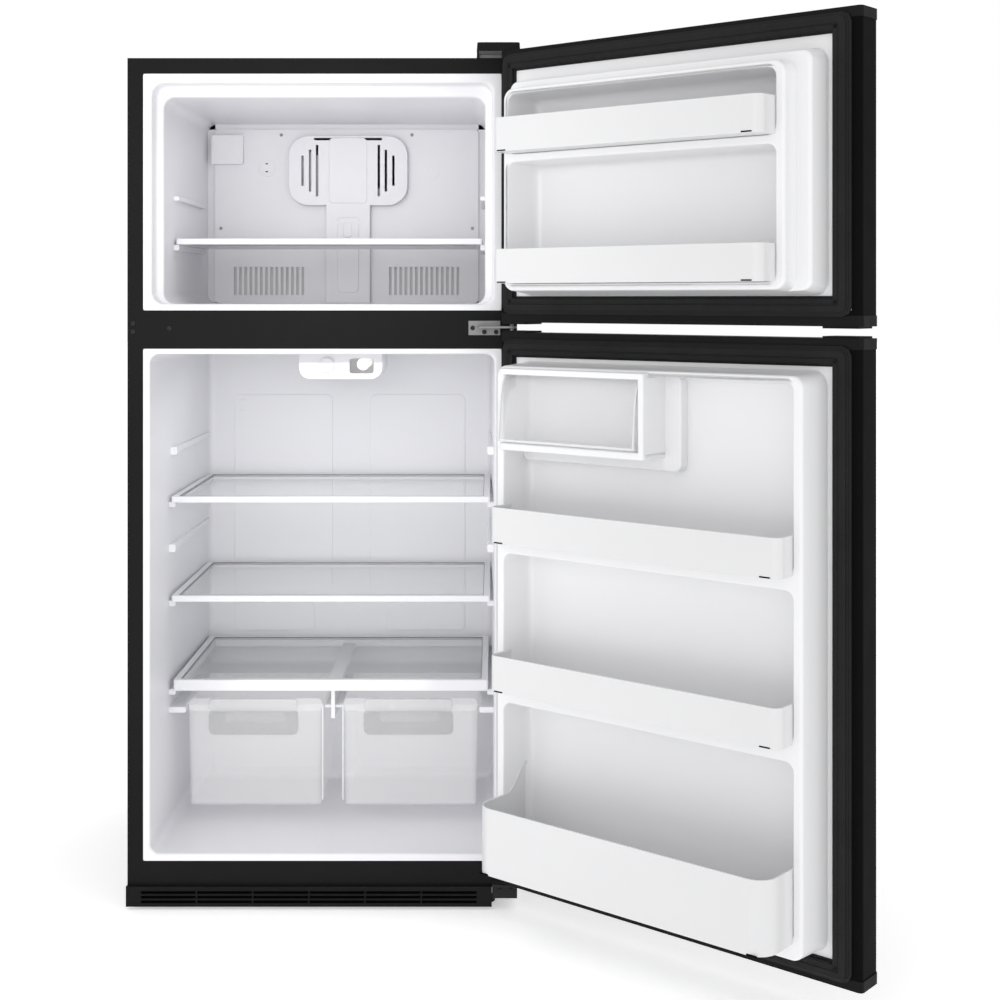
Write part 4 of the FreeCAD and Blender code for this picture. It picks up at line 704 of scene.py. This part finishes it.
@dataclass
class Cabinet:
    """The two liners and what is moulded into them, in cabinet millimetres."""

    lip: float = 350.5
    shell: float = 3.0
    rear_panels: tuple[tuple[float, float, float, float], ...] = (
        (-269, -41, 500, 968), (47, 269, 500, 968), (-269, -82, 417, 482), (84, 269, 417, 482))

    def tub(self, name: str, node: str, lip: Sequence[float], run: Sequence[Sequence[float]],
            rounds: Sequence[float], extras: Sequence[Surface] = ()) -> None:
        """A liner: cavity from its rear wall out to the lip, and back again one shell thickness outside.

        Args:
            name: the piece's name.
            node: the CAD node that it stands for.
            lip: left, right, low and high of the lip.
            run: the cavity's rectangles, rear wall first.
            rounds: the rounding at each of them and at the lip.
            extras: ribs and panels moulded into it.
        """
        edge = (*lip, 4.0, 0.0)
        outside = [inset(row, -self.shell, max(row[5], 0) + self.shell) for row in run[::-1][:-1]]
        back = (*lip, 4.0, self.shell)
        path = [*run, edge, back, *outside]
        table = profile(path, [*rounds, 0.7, 0.0, *[0.0] * len(outside)], 6)
        surface = stack(table, Facing.FRONT)
        for extra in extras:
            surface += extra
        publish(name, surface, "cabinet", CAVITY, stands_for=[node], sharp=50)

    def freezer(self) -> None:
        """Freezer liner: a deep box behind a shallow wider mouth, with shelf ribs on both sides."""
        run = [(-296, 296, 1203, 1568, 20, 590), (-318, 318, 1181, 1590, 22, 590),
               (-318, 318, 1181, 1590, 22, 40), (-333, 333, 1181, 1613, 24, 40),
               (-333, 333, 1181, 1613, 24, 0.0)]
        ribs = []
        for side in (-1, 1):
            for z, tall in ((1290, 12), (1392, 9)):
                ends = sorted((side * 308, side * 320))
                ribs.append(block((*ends, z, z + tall, 2.0, 448), 142, 1.4, Facing.FRONT))
        for ends in ((-319, -299, 1182, 1591), (299, 319, 1182, 1591), (-319, 319, 1576, 1591)):
            ribs.append(block((*ends, 1.0, 534), 526, 2.0, Facing.FRONT))
        self.tub("freezer_liner_tub", "freezer_liner", (-self.lip, self.lip, 1168.5, 1631.5), run,
                 [0, 22, 7, 7, 6], ribs)

    def fridge(self) -> None:
        """Fridge liner: drafted walls, a step over the machine bay, ribs, and panels on the rear wall."""
        lean = math.tan(math.radians(0.7))
        half, floor, roof, depth, step = 337, 106, 1083, 605, 470

        def at(level: float, low: float | None = None) -> tuple[float, ...]:
            """The cavity's rectangle at a level."""
            by = lean * level
            return (-half + by, half - by, floor + by if low is None else low, roof - by, 18, level)

        rear = at(depth, 340)
        run = [inset(rear, 26, depth), rear, at(step, 340), at(step), at(0)]
        shapes = []
        wall = half - lean * 350
        for side in (-1, 1):
            for top, front, tall, proud in ((772, 174, 12, 11), (568, 174, 12, 11), (385, 174, 12, 11),
                                            (882, 196, 13, 8), (682, 180, 13, 8)):
                ends = sorted((side * (wall - proud), side * (half + 1)))
                shapes.append(block((*ends, top - tall, top, 3.0, 588), front, 2.2, Facing.FRONT))
                tab = sorted((side * (wall - proud - 3), side * (half + 1)))
                if proud == 8:
                    shapes.append(block((*tab, top - tall - 2, top + 2, 4.0, front + 30), front - 6, 2.2,
                                        Facing.FRONT))
            ends = sorted((side * (half + 1), side * 303 + 2.5))
            shapes.append(block((*ends, 336, 348, 3.0, 455), 174, 2.0, Facing.FRONT))
        for left, right, low, high in self.rear_panels:
            shapes.append(block((left, right, low, high, 14.0, depth + 1), depth - 2.2, 1.3, Facing.FRONT))
        for z in (954, 931):
            shapes.append(block((-258, -247, z - 2, z + 2, 2.0, depth), depth - 4.5, 0.8, Facing.FRONT))
        self.tub("fridge_liner_tub", "fridge_liner", (-self.lip, self.lip, 92, 1093.5), run,
                 [0, 18, 12, 14, 5], shapes)


@dataclass
class SmallParts:
    """Screws, ports, and black and grey sheets of painted shade, too small for the frame, in cabinet
    millimetres.
    """

    face: float = 518
    neck: float = 495

    def disc(self, x: float, z: float, radius: float, front: float, back: float, edge: float) -> Surface:
        """A round button facing the front."""
        return block((x - radius, x + radius, z - radius, z + radius, radius, back), front, edge,
                     Facing.FRONT, 8)

    def build(self) -> None:
        """Everything on the evaporator cover, the painted shade behind the grille and in the port's slots,
        and the painted groove shade round the shelf glass.
        """
        screws = no_surface()
        for x, z in ((-149, 1565), (149, 1565), (-287, 1352), (287, 1352)):
            screws += self.disc(x, z, 3.6, self.face - 1.6, self.face + 1, 0.7)
        publish("evaporator_cover_screws", screws, "cabinet", MOTOR, sharp=35)
        port = self.disc(-182, 1490, 20, self.face - 2.4, self.face + 1, 1.2)
        port += self.disc(-182, 1490, 15, self.face - 3.4, self.face, 0.8)
        port += self.disc(197, 1482, 16, self.face - 0.9, self.face + 1, 0.5)
        panel = block((-19, 29, 1205, 1366, 12.0, self.neck + 1), self.neck - 2.2, 1.2, Facing.FRONT)
        arch = carry(u_path(-21, 31, 1366, 1376, 9, 2, 6), pill(1.8, self.neck - 1.6, self.neck + 1, 0.6),
                     False, Facing.FRONT)
        latch = block((-6, 14, 1330, 1364, 9.0, self.neck), self.neck - 4.6, 1.6, Facing.FRONT)
        centre = block((-38, 48, 1408, 1556, 10.0, self.neck + 1), self.neck - 1.8, 1.3, Facing.FRONT)
        publish("evaporator_cover_details", port + panel + arch + latch + centre, "cabinet", TRIM, sharp=35)
        screens = [block((a, a + 174, 1196, 1268, 3.0, self.face + 9), self.face + 5, 0.6, Facing.FRONT)
                   for a in (-264, 90)]
        publish("vent_screens", screens[0] + screens[1], "cabinet", BLADE, sharp=35)
        # Black sheets in the port's two slots and behind the toe grille: painted shade.
        slots = no_surface()
        for z in (1481, 1499):
            slots += block((-185, -179, z - 1.4, z + 1.4, 1.4, self.face - 3), self.face - 3.7, 0.2,
                           Facing.FRONT)
        slots += block((-376, 326, 9, 42, 2.0, -2.2), -4.6, 0.5, Facing.FRONT)
        publish("painted_shade_backings", slots, "cabinet", SHADOW, sharp=35)
        # A thin grey ring round each pane: painted shade along the groove where the glass sits in its
        # frame.
        for name, body, half, top in (("upper", "upper_shelf", 314, 784),
                                      ("lower", "lower_shelf", 314, 580), ("cover", "cabinet", 310, 407)):
            line = ring_path(-half, half, 174, 574, 2.0, 3)
            publish(f"{name}_shelf_groove_shade", carry(line, pill(1.3, top - 2, top + 0.35, 0.3), True), body,
                    GROOVE_SHADE_GREY, sharp=35)


@dataclass
class Crisper:
    """A clear drawer with a scooped pull and two hanging rims."""

    side: str
    left: float
    right: float
    front: float = 180
    back: float = 455
    low: float = 141
    high: float = 352

    def build(self) -> None:
        """The drawer and its pull."""
        box = tray((self.left, self.right, self.front, self.back, 14.0, self.low), self.high, 2.4, 7.0, 5.0)
        face = block((self.left + 3, self.right - 3, 338, 364.5, 9.0, self.front + 2), self.front - 1.4,
                     0.9, Facing.FRONT)
        rims = [block((a, b, self.front + 16, self.back, 2.0, 348), 352, 1.0, Facing.PLAN)
                for a, b in ((self.left - 7.5, self.left + 2), (self.right - 2, self.right + 7.5))]
        surface = box + face
        for rim in rims:
            surface += rim
        publish(f"crisper_{self.side}_drawer", surface, f"crisper_{self.side}", CLEAR,
                stands_for=[f"crisper_{self.side}"], sharp=35)
        # A bright bead down the drawer's inner front corner: painted highlight of that clear edge.
        inner = self.right - 1.4 if self.side == "left" else self.left + 1.4
        highlight_bead = block((inner - 1.6, inner + 1.6, self.low + 14, self.high, 1.5, self.front + 3),
                     self.front - 1.2, 0.8, Facing.FRONT)
        publish(f"crisper_{self.side}_edge", highlight_bead, f"crisper_{self.side}", HIGHLIGHT_EDGE, sharp=35)
        a, b = self.left + 44, self.right - 52
        lip = block((a + 2, b - 2, 339, 365, 8.0, self.front + 1), 169, 2.6, Facing.FRONT)
        bowl = profile([(a, b, 289, 341, 12.0, self.front + 0.4), (a + 3, b - 3, 292, 341, 12.0, 204),
                        (a + 30, b - 30, 310, 330, 8.0, 204), (a + 6, b - 6, 294, 339, 12.0, 202),
                        (a + 2.4, b - 2.4, 291, 339.5, 12.0, self.front - 1.8)], [0, 9, 0, 9, 0], 5)
        publish(f"crisper_{self.side}_pull", lip, f"crisper_{self.side}", PULL, sharp=35)
        # The scoop's darker colour is painted shade in its hollow.
        publish(f"crisper_{self.side}_scoop", stack(bowl, Facing.FRONT), f"crisper_{self.side}", SCOOP_SHADE,
                sharp=35)


@dataclass
class DairyBox:
    """The dairy compartment moulded on the fridge door, and its clear lid."""

    door: DoorInside
    left: float = 64
    right: float = 376
    low: float = 912
    high: float = 1058
    reach: float = 96
    hood_low: float = 1051.5
    band_wide: float = 44
    band_drop: float = 24
    sheet: float = 2.5
    smoothings: int = 6
    lid_front: tuple[tuple[float, float], ...] = (
        (50, 1049.2), (61, 1049.6), (74, 1048), (84, 1042), (90, 1032), (94.5, 1008), (97, 980), (99, 952),
        (100.4, 929))
    lid_back: tuple[tuple[float, float], ...] = ((52, 1047), (50, 1030), (57, 1024), (66, 1022), (78, 1000),
                                                 (90, 929))

    def lid_curve(self) -> Array:
        """The lid's side view, depth and height, averaged with its neighbours a few times over."""
        path = np.array(self.lid_front)
        fine = np.linspace(0, len(path) - 1, 41)
        curve = np.stack([np.interp(fine, np.arange(len(path)), path[:, i]) for i in range(2)], axis=1)
        for _ in range(self.smoothings):
            curve[1:-1] = (curve[:-2] + 2 * curve[1:-1] + curve[2:]) / 4
        return curve

    def build(self) -> None:
        """Floor, cheek, front frame and lid."""
        floor = block((self.left - 0.5, self.right + 12, 4, self.reach, 9.0, self.low), self.low + 14, 4.0,
                      Facing.PLAN)
        cheek = block((4, self.reach, self.low + 2, self.high + 6, 10.0, self.right), self.right + 12, 3.6,
                      Facing.SIDE)
        hood = block((self.left - 0.5, self.right + 12, 40, self.reach, 9.0, self.hood_low), self.high + 5,
                     3.6, Facing.PLAN)
        free, foot = self.right + self.band_wide, self.low - self.band_drop
        upright = block((self.right + 2, free, foot, self.high + 1, 14.0, 3), 27, 4.0, Facing.FRONT)
        lower = block((self.left + 2, free - 0.6, foot + 0.6, self.low + 10, 14.0, 3), 26.2, 4.0,
                      Facing.FRONT)
        publish("dairy_floor_and_cheek", floor + cheek + hood + upright + lower, self.door.body(),
                LINER, self.door.hinge.place, sharp=35)
        wide, curve = self.sheet, self.lid_curve()
        span = (self.left + 3.4, self.right - 3.4)
        middle = (span[0] + span[1]) / 2
        u, v = pill(span[1] - span[0], -wide / 2, wide / 2, 1.0).T
        sheet = carry(curve, np.stack([v, u + middle], axis=1), False, Facing.SIDE)
        sides = no_surface()
        for x in (span[0] + wide / 2, span[1] - wide / 2):
            outline = np.vstack([curve[::-1], np.array(self.lid_back)])
            across = np.concatenate([outline[:, 0], outline[:, 0]])
            up = np.concatenate([outline[:, 1], outline[:, 1]])
            count = len(outline)
            level = np.repeat([x - wide / 2, x + wide / 2], count)
            sides += Surface(Facing.SIDE.points(across, up, level),
                             grid_faces(2, count) + [list(range(count))[::-1],
                                                     list(range(count, 2 * count))])
        # Bright strips along the lid's curved sides and its bottom hem: painted highlight of the clear
        # lid's edges.
        edges = [carry(curve, np.stack([v * 1.6, u / (span[1] - span[0]) * 3 + x], axis=1), False,
                       Facing.SIDE)
                 for x in (span[0] + 2, span[1] - 2)]
        hem = block((span[0] + 1, span[1] - 1, 98.4, 101.4, 1.0, 928.6), 933, 0.7, Facing.PLAN)
        publish("dairy_lid_edge_highlights", edges[0] + edges[1] + hem, "dairy_lid", HIGHLIGHT_EDGE, self.door.hinge.place,
                sharp=35)
        publish("dairy_lid_clear", sheet + sides, "dairy_lid", LID, self.door.hinge.place, ["dairy_lid"],
                sharp=35)


# ------------------------------------------------------------------ studio
@dataclass(frozen=True)
class SoftPanel:
    """A square soft light, hidden from the camera."""

    place: tuple[float, float, float]
    aim: tuple[float, float, float]
    size: float
    watts: float
    spread: float = 180.0
    inside: bool = False

    def build(self, number: int) -> None:
        """Hang the light; one inside a compartment leaves no highlight."""
        lamp = bpy.data.lights.new(f"soft_panel_{number}", "AREA")
        lamp.size, lamp.energy, lamp.spread = self.size, self.watts, math.radians(self.spread)
        panel = bpy.data.objects.new(f"soft_panel_{number}", lamp)
        panel.location = self.place
        panel.rotation_euler = (Vector(self.aim) - panel.location).to_track_quat("-Z", "Y").to_euler()
        panel.visible_camera = False
        panel.visible_glossy = not self.inside
        bpy.context.scene.collection.objects.link(panel)


@dataclass(frozen=True)
class Studio:
    """Camera, soft lights, white surroundings and a pale floor."""

    eye: tuple[float, float, float] = (0.3329, -3.0952, 1.1920)
    lens: float = 56.98
    shift: tuple[float, float] = (0.0075, -0.2016)
    ambient: float = 0.86
    panels: tuple[SoftPanel, ...] = (
        SoftPanel((-1.2, -3.4, 1.9), (0.1, 0.2, 0.9), 1.8, 5.0),
        SoftPanel((0.4, -3.9, 1.0), (0.1, 0.2, 0.9), 1.8, 4.5),
        SoftPanel((-0.15, -1.5, 1.42), (-0.05, 0.6, 1.42), 0.5, 1.0, 75.0),
        SoftPanel((-0.15, -1.4, 0.42), (-0.05, 0.6, 0.42), 0.7, 0.6, 80.0),
        SoftPanel((0.0, 0.12, 1.57), (0.0, 0.3, 1.2), 0.4, 0.36, inside=True),
        SoftPanel((0.0, 0.15, 1.03), (0.0, 0.3, 0.1), 0.45, 0.5, inside=True),
        SoftPanel((0.0, 0.1, 0.378), (0.0, 0.3, 0.1), 0.4, 0.1, inside=True))

    def build(self) -> None:
        """Set the stage."""
        scene = bpy.context.scene
        scene.view_settings.view_transform = "Standard"
        world = bpy.data.worlds.new("white_surroundings")
        world.use_nodes = True
        tree = world.node_tree
        background = tree.nodes["Background"]
        background.inputs["Color"].default_value = (1, 1, 1, 1)
        path, level = tree.nodes.new("ShaderNodeLightPath"), tree.nodes.new("ShaderNodeMapRange")
        level.inputs["To Min"].default_value, level.inputs["To Max"].default_value = self.ambient, 1.0
        tree.links.new(path.outputs["Is Camera Ray"], level.inputs["Value"])
        tree.links.new(level.outputs["Result"], background.inputs["Strength"])
        scene.world = world
        for number, panel in enumerate(self.panels):
            panel.build(number)
        camera = bpy.data.cameras.new("camera")
        camera.lens, camera.shift_x, camera.shift_y = self.lens, *self.shift
        camera.clip_start, camera.clip_end = 0.05, 200
        viewer = bpy.data.objects.new("camera", camera)
        viewer.location = self.eye
        viewer.rotation_euler = (math.radians(90), 0, 0)
        scene.collection.objects.link(viewer)
        scene.camera = viewer
        sheet = bpy.data.meshes.new("floor")
        sheet.from_pydata([(-40, -40, 0), (40, -40, 0), (40, 40, 0), (-40, 40, 0)], [], [(0, 1, 2, 3)])
        pale = Finish("pale_floor", "", grey(0.93), grey(0.95), (0.7, 0.8), 200, 0.00002, 2, glow=0.42,
                      specular=0.1)
        sheet.materials.append(pale.material())
        floor = bpy.data.objects.new("floor", sheet)
        scene.collection.objects.link(floor)


def dress_cad() -> None:
    """Give every CAD node its finish."""
    for name, finish in CAD_FINISHES.items():
        mesh = frame["nodes"][name].data
        mesh.materials.clear()
        mesh.materials.append(finish.material())
        LOG.info("%s: %s", name, finish.name)


SOFTENED = (
    ("evaporator_cover", "cabinet", 1.0), ("fan_shroud", "cabinet", 2.5),
    ("control_housing", "cabinet", 2.5), ("toe_grille", "cabinet", 0.8),
    ("freezer_shelf", "freezer_shelf", 1.6), ("upper_shelf_frame", "upper_shelf", 1.8),
    ("lower_shelf_frame", "lower_shelf", 1.8), ("crisper_cover_frame", "cabinet", 1.8),
    ("temperature_knob", "temperature_knob", 1.2), ("top_hinge_cover", "cabinet", 2.0),
    ("center_hinge_bracket", "cabinet", 0.8), ("top_hinge_bracket", "cabinet", 0.8),
    ("freezer_door_caps", "freezer_door", 1.5), ("fridge_door_caps", "fridge_door", 1.5),
    ("freezer_door_handle", "freezer_door", 2.0), ("fridge_door_handle", "fridge_door", 2.0),
)


def main() -> None:
    """Build the pieces in order and set the stage."""
    logging.basicConfig(level=logging.INFO, format="%(message)s")
    Studio().build()
    dress_cad()
    for node, body, width in SOFTENED:
        soften(node, body, width)
    cabinet = Cabinet()
    cabinet.freezer()
    cabinet.fridge()
    freezer = DoorInside("freezer", HingeLine.of("freezer_door_hinge"), Seal(1193, 1629),
                         [(46, 692, 1198, 1604, 50, 7), (68, 662, 1203, 1582, 90, 3)],
                         [(82, 643, 1219, 1443), (82, 643, 1458, 1568)])
    freezer.build()
    for name, low in (("upper", 1458), ("lower", 1219)):
        DoorRack(f"freezer_rack_{name}_moulding", freezer, low, 63, 138, 14, 82,
                 643).build(f"freezer_rack_{name}")
    fridge = DoorInside("fridge", HingeLine.of("fridge_door_hinge"), Seal(107, 1083),
                        [(42, 690, 118, 1072, 80, 5)],
                        [(64, 669, 150, 442), (64, 669, 471, 719), (64, 669, 743, 1058)])
    fridge.build()
    for name, low in (("upper", 743), ("lower", 471)):
        DoorRack(f"fridge_rack_{name}_moulding", fridge, low, 67, 125, 14, 64,
                 669).build(f"fridge_rack_{name}")
    DoorRack("gallon_bin_moulding", fridge, 150, 122, 165, 34, 64, 669, tail=6, ear=50).build("gallon_bin")
    DairyBox(fridge).build()
    SmallParts().build()
    Crisper("left", -298.5, -17).build()
    Crisper("right", 22, 303.5).build()


if __name__ == "__main__":
    main()
